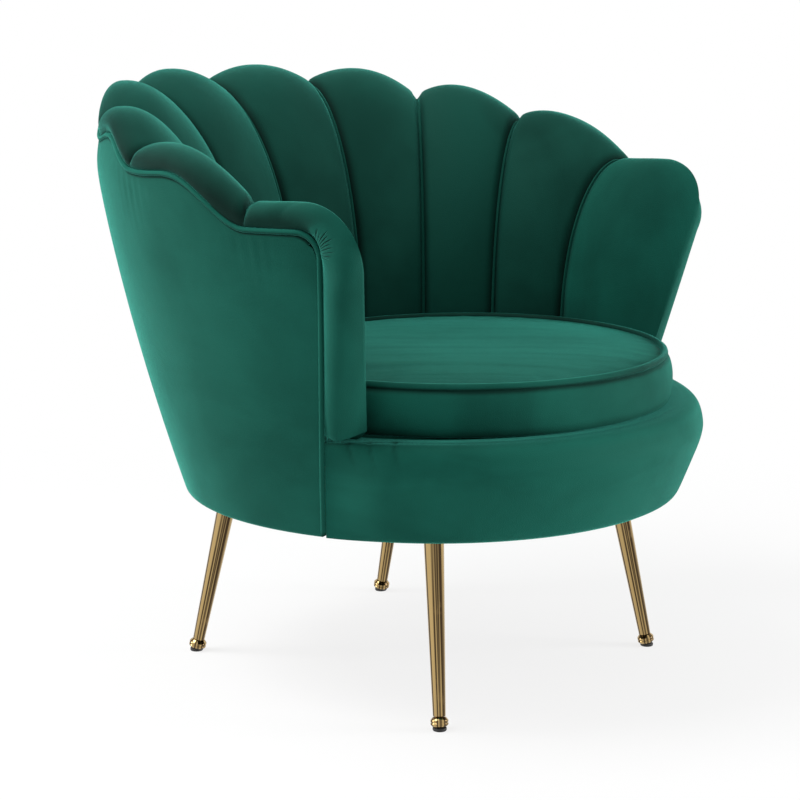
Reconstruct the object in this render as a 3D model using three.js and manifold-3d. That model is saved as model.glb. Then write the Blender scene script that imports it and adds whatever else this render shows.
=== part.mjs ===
// Scallop back tub chair: a shell of ten velvet channels round a loose round cushion, on four splayed legs.
// Millimetres, +Z up, floor at z = 0. The sitter faces -Y. Angles round the chair start at the back centre.

import * as THREE from 'three';
import { mergeVertices } from 'three/addons/utils/BufferGeometryUtils.js';
import Module from 'manifold-3d';

const wasm = await Module();
wasm.setup();

// Heights above the floor.
const backHeight = 756;
const bodyBottom = 235;
const apronHeight = 121.6;
const cushionThickness = 59.4;
const cushionCrown = 15;
const bendLift = 43.4;
const armLift = 3;

// Outer shell: an oval ring at the bottom that widens and leans back as it rises, drawn in above a shoulder.
const shellTopDrop = 56;
const shellBottomHalfWidth = 314;
const shellBottomHalfDepth = 317;
const shellTopHalfWidth = 408;
const shellTopHalfDepth = 396;
const shellBottomSetback = 51;
const shellTopSetback = 10;
const shellBulgeShare = 0.45;
const shoulderDrop = 100;
const shoulderSoftness = 20;
const shoulderLeanShare = 0.38;
const wallShares = [0, 0.35, 0.6, 0.76, 0.86, 0.94, 1];

// Inner face of the back: a round foot at the deck that rolls out to an oval crest.
const footInset = 14.6;
const footSetback = 119.6;
const crestRollWidth = 35.7;
const crestRollDepth = 30.3;
const crestSetback = 15.4;

// Seams between channels, from the back centre to the arm, mirrored on the other side.
const seamCrestAngles = [0, 26, 51, 74.4, 102];
const seamFootAngles = [0, 20.7, 38.5, 56.9, 75.7];
const seamHeightShares = [0.972, 0.968, 0.939, 0.9, 0.8386];
const humpShares = [0.03, 0.0345, 0.0345, 0.033];
const humpFadePower = 6;
const humpPeakShares = [0.5, 0.5, 0.46, 0.42];
const humpFullness = 0.85;
const channelCrown = 8;
const channelFootCrown = 7;
const weltDrop = 22;
const weltHumpShares = [0.75, 0.75, 0.8, 1.07];
const weltHumpSkew = 1.15;
const rimBulge = 6;

// Arm front: the last channel turns down round the arm's end.
const armFootAngle = 104;
const armNoseDrop = 47;
const armNoseTopInset = 70;
const armNoseTopY = -231;
const armNoseFootInset = 16.4;
const armNoseFootY = -191;
const armNoseDepth = 70;
const armCornerRadius = 85;
const armCrown = 11;
const armWeltSetDown = 34;
const armWeltCornerRadius = 30;
const armRimBulge = 30;
const armRimFootBulge = 6;
const armWeltFootAngle = 106.1;
const armWeltTopAngle = 115.6;

// Wall build-up, from the outside in.
const coverThickness = 4;
const frameThickness = 12;
const layerGap = 0.9;
const channelGap = 1.6;
const seatGap = 0.3;
const weltRadius = 4;
const weltGap = 2.2;

// Seat base.
const apronOverhangWidth = 33;
const apronOverhangDepth = 32;
const apronSetback = 54;
const apronRadiusShares = [0.897, 0.92, 0.95, 0.98, 0.997, 1, 0.985, 0.955, 0.915];
const apronHeightShares = [0, 0.045, 0.22, 0.45, 0.63, 0.75, 0.9, 0.975, 1];
const apronBoardThickness = 4;
const boardClearance = 2;
const boardThickness = 18;
const boardLift = 3;
const deckPadThickness = 16.3;
const blockLength = 70;
const blockWidth = 40;
const blockInset = 22;
const dustCoverThickness = 1.2;
const dustCoverInset = 14;

// Loose cushion.
const cushionClearance = 30.4;
const cushionBellyOut = 11;
const cushionFootOut = 3;
const cushionSetback = 88;
const cushionRearShare = 0.89;
const cushionCoverThickness = 3;
const cushionWeltRadius = 4.5;
const cushionWeltGap = 0.6;
const cushionSideShares = [0.06, 0.3, 0.6, 0.86];
const cushionDrawIn = 5;
const cushionCrownShares = [0.4, 0.7, 0.9];
const coreFootInset = 12;
const zipLength = 220;
const zipHeight = 14;
const zipThickness = 1.5;

// Legs.
const legTopRadius = 12.5;
const legBottomRadius = 7.7;
const frontLegInset = 50;
const rearLegInset = 38;
const frontSplayX = 32.3;
const frontSplayY = -37.3;
const rearSplayX = 14.3;
const rearSplayY = 56.2;
const padRadius = 8.5;
const padHeight = 4;
const glideRadius = 11.5;
const glideHeight = 12;
const plateRadius = 28;
const plateThickness = 3;
const studRadius = 4;
const studLength = 21;
const teeNutRadius = 6;
const teeNutFlange = 11;
const teeNutFlangeThickness = 1.5;
const holeClearance = 0.3;
const glideShares = [0.3, 0.6];

// Heights and widths worked out from the sizes above.
const deckHeight = bodyBottom + apronHeight;
const cushionTopSeam = deckHeight + cushionThickness;
const bendStart = deckHeight + bendLift;
const shellTopHeight = backHeight - shellTopDrop;
const shoulderHeight = backHeight - shoulderDrop;
const crestHalfWidth = shellTopHalfWidth - crestRollWidth;
const crestHalfDepth = shellTopHalfDepth - crestRollDepth;
const armHeight = backHeight * seamHeightShares.at(-1) + armLift;
const armWeltHeight = armHeight - armWeltSetDown;
const armNoseHeight = armHeight - armNoseDrop;
const armNoseTopX = shellTopHalfWidth - armNoseTopInset;
const footRadius = shellBottomHalfWidth - footInset;
const armNoseFootX = footRadius - armNoseFootInset;
const apronHalfWidth = shellBottomHalfWidth + apronOverhangWidth;
const apronHalfDepth = shellBottomHalfDepth + apronOverhangDepth;
const boardRadius = shellBottomHalfWidth - coverThickness - frameThickness - boardClearance;
const cushionRadius = footRadius - cushionClearance;
const cushionBelly = cushionRadius + cushionBellyOut;
const cushionFoot = cushionRadius + cushionFootOut;

// Points closer than these are one point.
const weldTolerance = 0.01;
const cutWeldTolerance = 0.001;

// Angles in degrees.
const fullTurn = 360;
const blockTurns = { rear: 0, left: 90, front: 180, right: 270 };
const frontLegTurn = 130.7;
const rearLegTurn = 42.11;

// Powers of the curves.
const armSpacingPower = 1.5;
const cushionCrownPower = 2.4;

// Counts.
const channelColumns = 6;
const armColumns = 6;
const bendSteps = 6;
const rimSteps = 5;
const apronColumns = 28;
const cushionColumns = 40;
const zipColumns = 8;
const roundSides = 20;
const weltSides = 6;
const weltSteps = 150;
const discSides = 64;

const velvet = new THREE.Color().setStyle('#1d5c4e');
const deepVelvet = new THREE.Color().setStyle('#0f3d33');
const gold = new THREE.Color().setStyle('#b9944f');
const plywood = new THREE.Color().setStyle('#c8a878');
const foamColour = new THREE.Color().setStyle('#e3d9b8');
const black = new THREE.Color().setStyle('#141414');
const zinc = new THREE.Color().setStyle('#9a9ca0');

const chair = new THREE.Group();

function material(colour, roughness, metalness) {
  return new THREE.MeshStandardMaterial({ color: colour, roughness, metalness });
}

const cloth = () => material(velvet, 0.85, 0);
const pipingCloth = () => material(deepVelvet, 0.85, 0);
const wood = () => material(plywood, 0.7, 0);
const foam = () => material(foamColour, 0.9, 0);
const brass = () => material(gold, 0.25, 1);
const blackRubber = () => material(black, 0.8, 0);
const blackCloth = () => material(black, 0.95, 0);
const steel = () => material(zinc, 0.4, 1);

function add(name, geometry, finish) {
  const mesh = new THREE.Mesh(geometry, finish);
  mesh.name = name;
  chair.add(mesh);
  return mesh;
}

// Small maths.

const radians = THREE.MathUtils.degToRad;
const lerp = THREE.MathUtils.lerp;
const mirror = (point, side) => new THREE.Vector3(side * point.x, point.y, point.z);

function between(list, index, share) {
  return lerp(list[index], list[index + 1], share);
}

// Closed bodies from grids of points and flat rims.

class Body {
  constructor() {
    this.points = [];
  }

  triangle(a, b, c) {
    this.points.push(a, b, c);
  }

  grid(rows) {
    for (let i = 0; i + 1 < rows.length; i += 1) {
      for (let j = 0; j + 1 < rows[i].length; j += 1) {
        this.triangle(rows[i][j], rows[i + 1][j], rows[i + 1][j + 1]);
        this.triangle(rows[i][j], rows[i + 1][j + 1], rows[i][j + 1]);
      }
    }
  }

  // A rim that lies nearly in one plane, seen along the given direction.
  cap(loop, across, up) {
    const flat = loop.map((p) => new THREE.Vector2(p.dot(across), p.dot(up)));
    for (const [a, b, c] of THREE.ShapeUtils.triangulateShape(flat, [])) {
      this.triangle(loop[a], loop[b], loop[c]);
    }
  }

  geometry() {
    const shape = new THREE.BufferGeometry().setFromPoints(this.points);
    return turnOutwards(mergeVertices(shape, weldTolerance));
  }
}

// Gives every face the same turn as its neighbours, and points them all outwards.
function turnOutwards(shape) {
  const place = shape.getAttribute('position');
  const corners = shape.getIndex().array;
  const faces = [];
  for (let i = 0; i < corners.length; i += 3) {
    const face = [corners[i], corners[i + 1], corners[i + 2]];
    if (new Set(face).size === 3) faces.push(face);
  }
  const edges = new Map();
  const key = (a, b) => `${Math.min(a, b)} ${Math.max(a, b)}`;
  const sides = ([a, b, c]) => [[a, b], [b, c], [c, a]];
  faces.forEach((face, index) => {
    for (const [a, b] of sides(face)) {
      edges.set(key(a, b), [...(edges.get(key(a, b)) ?? []), index]);
    }
  });
  const seen = new Set([0]);
  const queue = [0];
  while (queue.length) {
    const current = queue.pop();
    for (const [a, b] of sides(faces[current])) {
      for (const next of edges.get(key(a, b))) {
        if (seen.has(next)) continue;
        seen.add(next);
        queue.push(next);
        if (sides(faces[next]).some(([c, d]) => c === a && d === b)) faces[next].reverse();
      }
    }
  }
  const vertex = (index) => new THREE.Vector3().fromBufferAttribute(place, index);
  let volume = 0;
  for (const [a, b, c] of faces) volume += vertex(a).dot(vertex(b).cross(vertex(c)));
  if (volume < 0) faces.forEach((face) => face.reverse());
  shape.setIndex(faces.flat());
  shape.computeVertexNormals();
  return shape;
}

// Cuts with closed bodies.

function toSolid(geometry) {
  const bare = geometry.clone();
  bare.deleteAttribute('normal');
  bare.deleteAttribute('uv');
  const merged = mergeVertices(bare, cutWeldTolerance);
  return new wasm.Manifold(new wasm.Mesh({
    numProp: 3,
    vertProperties: new Float32Array(merged.getAttribute('position').array),
    triVerts: new Uint32Array(merged.getIndex().array),
  }));
}

function cut(geometry, tools) {
  let body = toSolid(geometry);
  for (const tool of tools) body = body.subtract(toSolid(tool));
  const mesh = body.getMesh();
  const result = new THREE.BufferGeometry();
  result.setAttribute('position', new THREE.BufferAttribute(new Float32Array(mesh.vertProperties), 3));
  result.setIndex(Array.from(mesh.triVerts));
  result.computeVertexNormals();
  return result;
}

// Upright round bodies: a profile of radius and height pairs, turned about the vertical.
function turned(profile, sides) {
  const lathe = new THREE.LatheGeometry(profile.map(([r, z]) => new THREE.Vector2(r, z)), sides);
  return lathe.rotateX(Math.PI / 2);
}

function drum(radius, low, high, sides) {
  return turned([[0, low], [radius, low], [radius, high], [0, high]], sides);
}

// The outer shell's face, moved inwards by an inset.
function shellPoint(angle, height, inset = 0) {
  const rise = (height - bodyBottom) / (shellTopHeight - bodyBottom);
  const swell = rise + shellBulgeShare * rise * (1 - rise);
  const above = height - shoulderHeight;
  const lean = shoulderLeanShare * (above + Math.hypot(above, shoulderSoftness)) / 2;
  const halfWidth = lerp(shellBottomHalfWidth, shellTopHalfWidth, swell) - lean - inset;
  const halfDepth = lerp(shellBottomHalfDepth, shellTopHalfDepth, swell) - lean - inset;
  const setback = lerp(shellBottomSetback, shellTopSetback, rise);
  const turn = radians(angle);
  return new THREE.Vector3(halfWidth * Math.sin(turn), halfDepth * Math.cos(turn) - setback, height);
}

// Hump of a channel's crest, 0 at both seams and 1 at its peak.
function hump(share, peakShare) {
  const skew = -Math.LN2 / Math.log(peakShare);
  return Math.sin(Math.PI * share ** skew) ** humpFullness || 0;
}

const crownShape = (share) => 1 - (2 * share - 1) ** 2;

// Height of the straight line between a channel's two notches.
const notchLine = (channel, share) => backHeight * between(seamHeightShares, channel, share);

// The welt's wave is softer than the crest's, and glides down to the arm in an S.
function weltHeight(channel, share) {
  const wave = Math.sin(Math.PI * share ** weltHumpSkew) ** 2;
  const rise = backHeight * weltHumpShares[channel] * humpShares[channel] * wave;
  if (channel < lastChannel) return notchLine(channel, share) + rise - weltDrop;
  const glide = THREE.MathUtils.smoothstep(share, 0, 1);
  return notchLine(channel, glide) + rise - lerp(weltDrop, armWeltDrop, share);
}

const lastChannel = humpShares.length - 1;
const armWeltDrop = backHeight * seamHeightShares[lastChannel + 1] - armWeltHeight;
const petalBack = coverThickness + frameThickness + layerGap + channelGap;

// Points of a quarter ellipse from the crest down to the welt, bulged outwards.
function rim(crest, welt, inwards, bulge) {
  const away = welt.clone().sub(crest);
  const along = inwards.clone().multiplyScalar(away.dot(inwards));
  const outwards = away.sub(along);
  const side = outwards.clone().setZ(0).normalize();
  const points = [];
  for (let step = 1; step <= rimSteps; step += 1) {
    const turn = Math.PI / 2 * step / rimSteps;
    const point = crest.clone().addScaledVector(outwards, Math.sin(turn));
    point.addScaledVector(along, 1 - Math.cos(turn));
    if (step < rimSteps) point.addScaledVector(side, bulge * Math.sin(turn));
    points.push(point);
  }
  return points;
}

// Height rows of a channel's face: the foot, the start of the bend, then even turns up to the crest.
const bendTurns = Array.from({ length: bendSteps }, (_, i) => Math.PI / 2 * (i + 1) / bendSteps);

// One column of a back channel: face from foot to crest, rim, and back down the frame.
function channelColumn(channel, share, side) {
  const footAngle = radians(between(seamFootAngles, channel, share));
  const crestAngle = radians(between(seamCrestAngles, channel, share));
  const crown = crownShape(share);
  const radius = footRadius - channelFootCrown * crown;
  const foot = new THREE.Vector2(radius * Math.sin(footAngle), radius * Math.cos(footAngle) - footSetback);
  const crest = new THREE.Vector2(
    crestHalfWidth * Math.sin(crestAngle),
    crestHalfDepth * Math.cos(crestAngle) - crestSetback,
  );
  const notch = notchLine(channel, share);
  const rise = backHeight * humpShares[channel] * hump(share, humpPeakShares[channel]);
  const inward = foot.clone().sub(crest).normalize();
  const face = [new THREE.Vector3(foot.x, foot.y, petalFoot), new THREE.Vector3(foot.x, foot.y, bendStart)];
  for (const turn of bendTurns) {
    const plan = foot.clone().lerp(crest, 1 - Math.cos(turn));
    const lift = channelCrown * crown * Math.sin(2 * turn);
    plan.addScaledVector(inward, lift * Math.cos(turn));
    const up = Math.sin(turn);
    const height = lerp(bendStart, notch, up) + rise * up ** humpFadePower + lift * up;
    face.push(new THREE.Vector3(plan.x, plan.y, height));
  }
  const angle = between(seamCrestAngles, channel, share);
  const welt = weltHeight(channel, share);
  const edge = weltRadius + weltGap;
  const outer = rim(face.at(-1), shellPoint(angle, welt + edge), new THREE.Vector3(0, 0, -1), rimBulge);
  const levels = wallLevels(petalFoot, welt, edge);
  const back = levels.map((height) => shellPoint(angle, height, petalBack)).reverse();
  return [face, outer, back].map((points) => points.map((p) => mirror(p, side)));
}

const petalFoot = deckHeight + seatGap;

// Heights of a wall's rows, from its own low edge to its top edge near the welt.
function wallLevels(low, welt, edgeShift) {
  return wallShares.map((share) => {
    if (share === 0) return low;
    return share === 1 ? welt + edgeShift : lerp(bodyBottom, welt, share);
  });
}

// A column moved sideways, to leave the seam gap to its neighbour.
function nudge(column, offset) {
  return column.map((points) => points.map((p) => p.clone().add(offset)));
}

function seamOffset(seam, side, sign) {
  const turn = radians(seamCrestAngles[seam]);
  return new THREE.Vector3(side * Math.cos(turn), -Math.sin(turn), 0).multiplyScalar(sign * seatGap / 2);
}

function sideCap(body, column, seam, side) {
  const turn = radians(seamCrestAngles[seam]);
  const outwards = new THREE.Vector3(side * Math.sin(turn), Math.cos(turn), 0);
  body.cap(column.flat(), outwards, new THREE.Vector3(0, 0, 1));
}

function backChannel(channel, side) {
  const columns = [];
  for (let i = 0; i <= channelColumns; i += 1) {
    columns.push(channelColumn(channel, i / channelColumns, side));
  }
  columns[0] = nudge(columns[0], seamOffset(channel, side, 1));
  columns[channelColumns] = nudge(columns[channelColumns], seamOffset(channel + 1, side, -1));
  const body = new Body();
  body.grid(columns.map(([face, outer]) => [...face, ...outer]));
  body.grid(columns.map(([, , back]) => back.slice().reverse()));
  body.grid(columns.map(([, outer, back]) => [outer.at(-1), back[0]]));
  body.grid(columns.map(([face, , back]) => [face[0], back.at(-1)]));
  sideCap(body, columns[0], channel, side);
  sideCap(body, columns[channelColumns], channel + 1, side);
  return body.geometry();
}

// Arm front.

// Rounds the corner where the top and the front edge meet: shares of the corner square in, shares out.
function roundCorner(forward, up) {
  if (forward <= 0 || up <= 0) return [forward, up];
  return [forward * Math.sqrt(1 - up * up / 2), up * Math.sqrt(1 - forward * forward / 2)];
}

function cornerPlace(distance, height, radius, length, top) {
  const forward = 1 - (length - distance) / radius;
  const up = 1 - (top - height) / radius;
  const [x, z] = roundCorner(forward, up);
  return [length - radius * (1 - x), top - radius * (1 - z)];
}

function armWeltAngle(height) {
  const rise = THREE.MathUtils.clamp((height - bodyBottom) / (armWeltHeight - bodyBottom), 0, 1);
  const swell = rise + shellBulgeShare * rise * (1 - rise);
  return lerp(armWeltFootAngle, armWeltTopAngle, swell);
}

const armStart = seamCrestAngles[lastChannel + 1];
const armFootStart = seamFootAngles[lastChannel + 1];
const armArc = radians(armWeltTopAngle - armStart) * (shellTopHalfWidth + shellTopHalfDepth) / 2;

// A place on the arm's outer wall: share of the way from the last seam to the front, and a height.
function armWallPoint(share, height, inset, edgeInset, top) {
  const [distance, z] = cornerPlace(share * armArc, height, armWeltCornerRadius, armArc, top);
  const end = armWeltAngle(z) - THREE.MathUtils.radToDeg(edgeInset / shellTopHalfWidth);
  return shellPoint(lerp(armStart, end, distance / armArc), z, inset);
}

const armNose = (height) => {
  const rise = (height - deckHeight) / (armNoseHeight - deckHeight);
  return new THREE.Vector2(lerp(armNoseFootX, armNoseTopX, rise), lerp(armNoseFootY, armNoseTopY, rise));
};

const armSeamCrest = new THREE.Vector2(
  crestHalfWidth * Math.sin(radians(armStart)),
  crestHalfDepth * Math.cos(radians(armStart)) - crestSetback,
);
const armLength = armSeamCrest.distanceTo(armNose(armHeight));

// A point of the arm's inner face at a share of the way forward and a height row.
function armFacePoint(share, turn, foot) {
  const seamTop = backHeight * seamHeightShares[lastChannel + 1];
  const top = lerp(seamTop, armHeight, Math.min(1, share * armLength / armCornerRadius));
  const height = foot ?? lerp(bendStart, top, Math.sin(turn));
  const [distance, z] = cornerPlace(share * armLength, height, armCornerRadius, armLength, top);
  const place = distance / armLength;
  const sheet = armSeamCrest.clone().lerp(armNose(z), place);
  const footAngle = radians(lerp(armFootStart, armFootAngle, place));
  const crown = armCrown * crownShape(share);
  const radius = footRadius - crown;
  const deep = new THREE.Vector2(radius * Math.sin(footAngle), radius * Math.cos(footAngle) - footSetback);
  const closing = Math.max(0, 1 - (1 - share) * armLength / armNoseDepth);
  const depth = Math.cos(turn) * Math.sqrt(1 - closing * closing);
  sheet.lerp(deep, depth);
  return new THREE.Vector3(sheet.x, sheet.y, z);
}

function armRows() {
  return [{ turn: 0, foot: petalFoot }, { turn: 0, foot: bendStart }, ...bendTurns.map((turn) => ({ turn }))];
}

const armShare = (_, i) => 1 - (1 - i / armColumns) ** armSpacingPower;
const armShares = Array.from({ length: armColumns + 1 }, armShare);

function armChannel(side) {
  const rows = armRows();
  const top = rows.length - 1;
  const weltEdge = armWeltHeight + weltRadius + weltGap;
  const wallHeight = (row) =>
    lerp(petalFoot, weltEdge, (rowHeight(rows[row]) - petalFoot) / (armHeight - petalFoot));
  const wallPoint = (share, row, inset) =>
    armWallPoint(share, wallHeight(row), inset, -weltRadius - weltGap, weltEdge);
  const place = (p) => mirror(p, side);
  const face = armShares.map((s) => rows.map(({ turn, foot }) => place(armFacePoint(s, turn, foot))));
  const back = armShares.map((s) => rows.map((_, row) => place(wallPoint(s, row, petalBack))));
  const loop = [
    ...armShares.map((s, i) => [i, top, s]),
    ...rows.slice(0, -1).map((_, row) => [armColumns, top - 1 - row, 1]),
  ];
  const rims = loop.map(([i, row, share]) => {
    const crest = face[i][row];
    const welt = place(wallPoint(share, row, 0));
    const forward = THREE.MathUtils.clamp(1 - (1 - share) * armLength / armCornerRadius, 0, 1);
    const upward = THREE.MathUtils.clamp(1 - (armHeight - rowHeight(rows[row])) / armCornerRadius, 0, 1);
    const inwards = new THREE.Vector3(0, forward, -upward).normalize();
    const rise = (crest.z - deckHeight) / (armHeight - deckHeight);
    const bulge = lerp(rimBulge, lerp(armRimFootBulge, armRimBulge, rise), forward);
    return [crest, ...rim(crest, welt, inwards, bulge), back[i][row]];
  });
  const start = [face[0], rims[0].slice(1, -1), back[0].slice().reverse()];
  const moved = nudge(start, seamOffset(lastChannel + 1, side, 1));
  face[0] = moved[0];
  back[0] = moved[2].slice().reverse();
  rims[0] = [moved[0].at(-1), ...moved[1], moved[2][0]];
  const body = new Body();
  body.grid(face);
  body.grid(back);
  body.grid(rims);
  sideCap(body, moved, lastChannel + 1, side);
  const foot = [
    ...face.map((column) => column[0]),
    ...rims.at(-1).slice(1, -1),
    ...back.map((column) => column[0]).reverse(),
  ];
  body.cap(foot, new THREE.Vector3(1, 0, 0), new THREE.Vector3(0, 1, 0));
  return body.geometry();
}

function rowHeight({ turn, foot }) {
  return foot ?? lerp(bendStart, armHeight, Math.sin(turn));
}

// Curved wall sheets: the bent frame and the outside cover.

// Columns of half a wall, from the back centre to the arm's front. Each column runs from the bottom edge up.
function wallColumns(inset, low, edgeShift) {
  const half = [];
  for (let channel = 0; channel <= lastChannel; channel += 1) {
    for (let i = 0; i < channelColumns; i += 1) {
      const share = i / channelColumns;
      const angle = between(seamCrestAngles, channel, share);
      const levels = wallLevels(low, weltHeight(channel, share), edgeShift);
      half.push(levels.map((height) => shellPoint(angle, height, inset)));
    }
  }
  const top = armWeltHeight + edgeShift;
  const levels = wallLevels(low, armWeltHeight, edgeShift);
  for (const share of armShares) {
    half.push(levels.map((height) => armWallPoint(share, height, inset, -edgeShift, top)));
  }
  return half;
}

function wallSheet(outerInset, thickness, low, edgeShift) {
  const body = new Body();
  for (const side of [1, -1]) {
    const [outer, inner] = [outerInset, outerInset + thickness].map((inset) =>
      wallColumns(inset, low, edgeShift).map((column) => column.map((p) => mirror(p, side))));
    body.grid(outer);
    body.grid(inner);
    body.grid([outer.at(-1), inner.at(-1)]);
    for (const row of [0, -1]) {
      body.grid([outer, inner].map((columns) => columns.map((column) => column.at(row))));
    }
  }
  return body.geometry();
}

function weltPath() {
  const half = [];
  for (let channel = 0; channel <= lastChannel; channel += 1) {
    for (let i = 0; i < channelColumns; i += 1) {
      const share = i / channelColumns;
      half.push(shellPoint(between(seamCrestAngles, channel, share), weltHeight(channel, share)));
    }
  }
  for (const share of armShares) half.push(armWallPoint(share, armWeltHeight, 0, 0, armWeltHeight));
  for (const height of wallLevels(bodyBottom + weltRadius, armWeltHeight, 0).slice(0, -1).reverse()) {
    half.push(armWallPoint(1, height, 0, 0, armWeltHeight));
  }
  const other = half.slice(1).reverse().map((p) => mirror(p, -1));
  return new THREE.CatmullRomCurve3([...other, ...half]);
}

function circleShape(radius, sides) {
  const points = [];
  for (let i = 0; i < sides; i += 1) {
    const turn = 2 * Math.PI * i / sides;
    points.push(new THREE.Vector2(radius * Math.cos(turn), radius * Math.sin(turn)));
  }
  return new THREE.Shape(points);
}

function tube(path, radius, steps) {
  return new THREE.ExtrudeGeometry(circleShape(radius, weltSides), {
    steps,
    bevelEnabled: false,
    extrudePath: path,
  });
}

// Seat base.

function apron() {
  const inner = boardRadius + apronBoardThickness + seatGap + layerGap;
  const rise = deckHeight - bodyBottom;
  const profile = apronRadiusShares.map((share, i) => [share, bodyBottom + rise * apronHeightShares[i]]);
  const endAngle = (height, setback) => {
    const welt = shellPoint(armWeltAngle(height), height);
    const past = (weltRadius + weltGap + layerGap) / boardRadius;
    return THREE.MathUtils.radToDeg(Math.atan2(welt.x, welt.y + setback) + past);
  };
  const columns = [];
  for (let i = 0; i <= apronColumns; i += 1) {
    const point = (height, halfWidth, halfDepth, setback) => {
      const end = endAngle(height, setback);
      const turn = radians(lerp(end, fullTurn - end, i / apronColumns));
      return new THREE.Vector3(halfWidth * Math.sin(turn), halfDepth * Math.cos(turn) - setback, height);
    };
    const face = profile.map(([share, height]) =>
      point(height, share * apronHalfWidth, share * apronHalfDepth, apronSetback));
    const back = [deckHeight, bodyBottom].map((height) => point(height, inner, inner, shellBottomSetback));
    columns.push([...face, ...back, face[0]]);
  }
  const body = new Body();
  body.grid(columns);
  const widest = apronRadiusShares.indexOf(Math.max(...apronRadiusShares));
  for (const column of [columns[0], columns.at(-1)]) {
    const across = column[widest].clone().sub(column.at(-2)).setZ(0).normalize();
    body.cap(column.slice(0, -1), across, new THREE.Vector3(0, 0, 1));
  }
  return body.geometry();
}

// The bent board behind the apron, from one arm round the front to the other.
function apronHoop(start) {
  const innerRadius = boardRadius + seatGap;
  const outerRadius = innerRadius + apronBoardThickness;
  const rows = [];
  for (let i = 0; i <= apronColumns; i += 1) {
    const turn = radians(lerp(start, fullTurn - start, i / apronColumns));
    const point = (radius, height) =>
      new THREE.Vector3(radius * Math.sin(turn), radius * Math.cos(turn), height);
    rows.push([
      point(outerRadius, baseBoardLow),
      point(outerRadius, seatBoardTop),
      point(innerRadius, seatBoardTop),
      point(innerRadius, baseBoardLow),
      point(outerRadius, baseBoardLow),
    ]);
  }
  const body = new Body();
  body.grid(rows);
  for (const row of [rows[0], rows.at(-1)]) body.grid([[row[0], row[1]], [row[3], row[2]]]);
  return body.geometry();
}

function block() {
  return new THREE.BoxGeometry(blockLength, blockWidth, blockHeight);
}

const baseBoardLow = bodyBottom + boardLift;
const baseBoardTop = baseBoardLow + boardThickness;
const seatBoardTop = deckHeight - deckPadThickness;
const seatBoardLow = seatBoardTop - boardThickness;
const blockHeight = seatBoardLow - baseBoardTop - 2 * seatGap;

// A leg's top lies near the base board's edge, and its foot stands out from there by its splay.
function legPlaces(inset, degrees, splayX, splayY) {
  const reach = boardRadius - inset;
  const topX = reach * Math.sin(radians(degrees));
  const topY = reach * Math.cos(radians(degrees)) - shellBottomSetback;
  return { topX, topY, footX: topX + splayX, footY: topY + splayY };
}

const frontLeg = legPlaces(frontLegInset, frontLegTurn, frontSplayX, frontSplayY);
const rearLeg = legPlaces(rearLegInset, rearLegTurn, rearSplayX, rearSplayY);
const legs = [
  { name: 'front_left', side: 1, ...frontLeg },
  { name: 'front_right', side: -1, ...frontLeg },
  { name: 'rear_left', side: 1, ...rearLeg },
  { name: 'rear_right', side: -1, ...rearLeg },
];

function addBase() {
  const centre = -shellBottomSetback;
  const bore = teeNutRadius + holeClearance;
  const bores = legs.map((leg) =>
    drum(bore, baseBoardLow - boardLift, baseBoardTop + boardLift, roundSides)
      .translate(leg.side * leg.topX, leg.topY - centre, 0));
  const base = cut(drum(boardRadius, baseBoardLow, baseBoardTop, discSides), bores);
  add('base_board', base, wood()).position.y = centre;
  const board = drum(boardRadius, seatBoardLow, seatBoardTop - seatGap, discSides);
  add('seat_board', board, wood()).position.y = centre;
  add('deck_pad', drum(boardRadius, seatBoardTop, deckHeight, discSides), cloth()).position.y = centre;
  const windows = legs.map((leg) =>
    drum(plateRadius + holeClearance, bodyBottom - boardLift, baseBoardTop, roundSides)
      .translate(leg.side * leg.topX, leg.topY - centre, 0));
  const dustTop = baseBoardLow - seatGap;
  const dust = drum(boardRadius - dustCoverInset, dustTop - dustCoverThickness, dustTop, discSides);
  add('dust_cover', cut(dust, windows), blackCloth()).position.y = centre;
  const frontEdge = shellPoint(armWeltAngle(deckHeight), deckHeight);
  const turn = Math.atan2(frontEdge.x, frontEdge.y + shellBottomSetback) + frameThickness / boardRadius;
  add('apron_board', apronHoop(THREE.MathUtils.radToDeg(turn)), wood()).position.y = centre;
  add('apron', apron(), cloth());
  const reach = boardRadius - blockInset - blockWidth / 2;
  for (const [name, degrees] of Object.entries(blockTurns)) {
    const piece = add(`base_block_${name}`, block(), wood());
    piece.position.set(
      reach * Math.sin(radians(degrees)),
      centre + reach * Math.cos(radians(degrees)),
      baseBoardTop + seatGap + blockHeight / 2,
    );
    piece.rotation.z = -radians(degrees);
  }
}

// Legs lean outwards: level rings whose centres follow the leg's axis.
function lean(geometry, leg) {
  const place = geometry.getAttribute('position');
  for (let i = 0; i < place.count; i += 1) {
    const share = place.getZ(i) / bodyBottom;
    place.setX(i, place.getX(i) + leg.side * lerp(leg.footX, leg.topX, share));
    place.setY(i, place.getY(i) + lerp(leg.footY, leg.topY, share));
  }
  return geometry;
}

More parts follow.
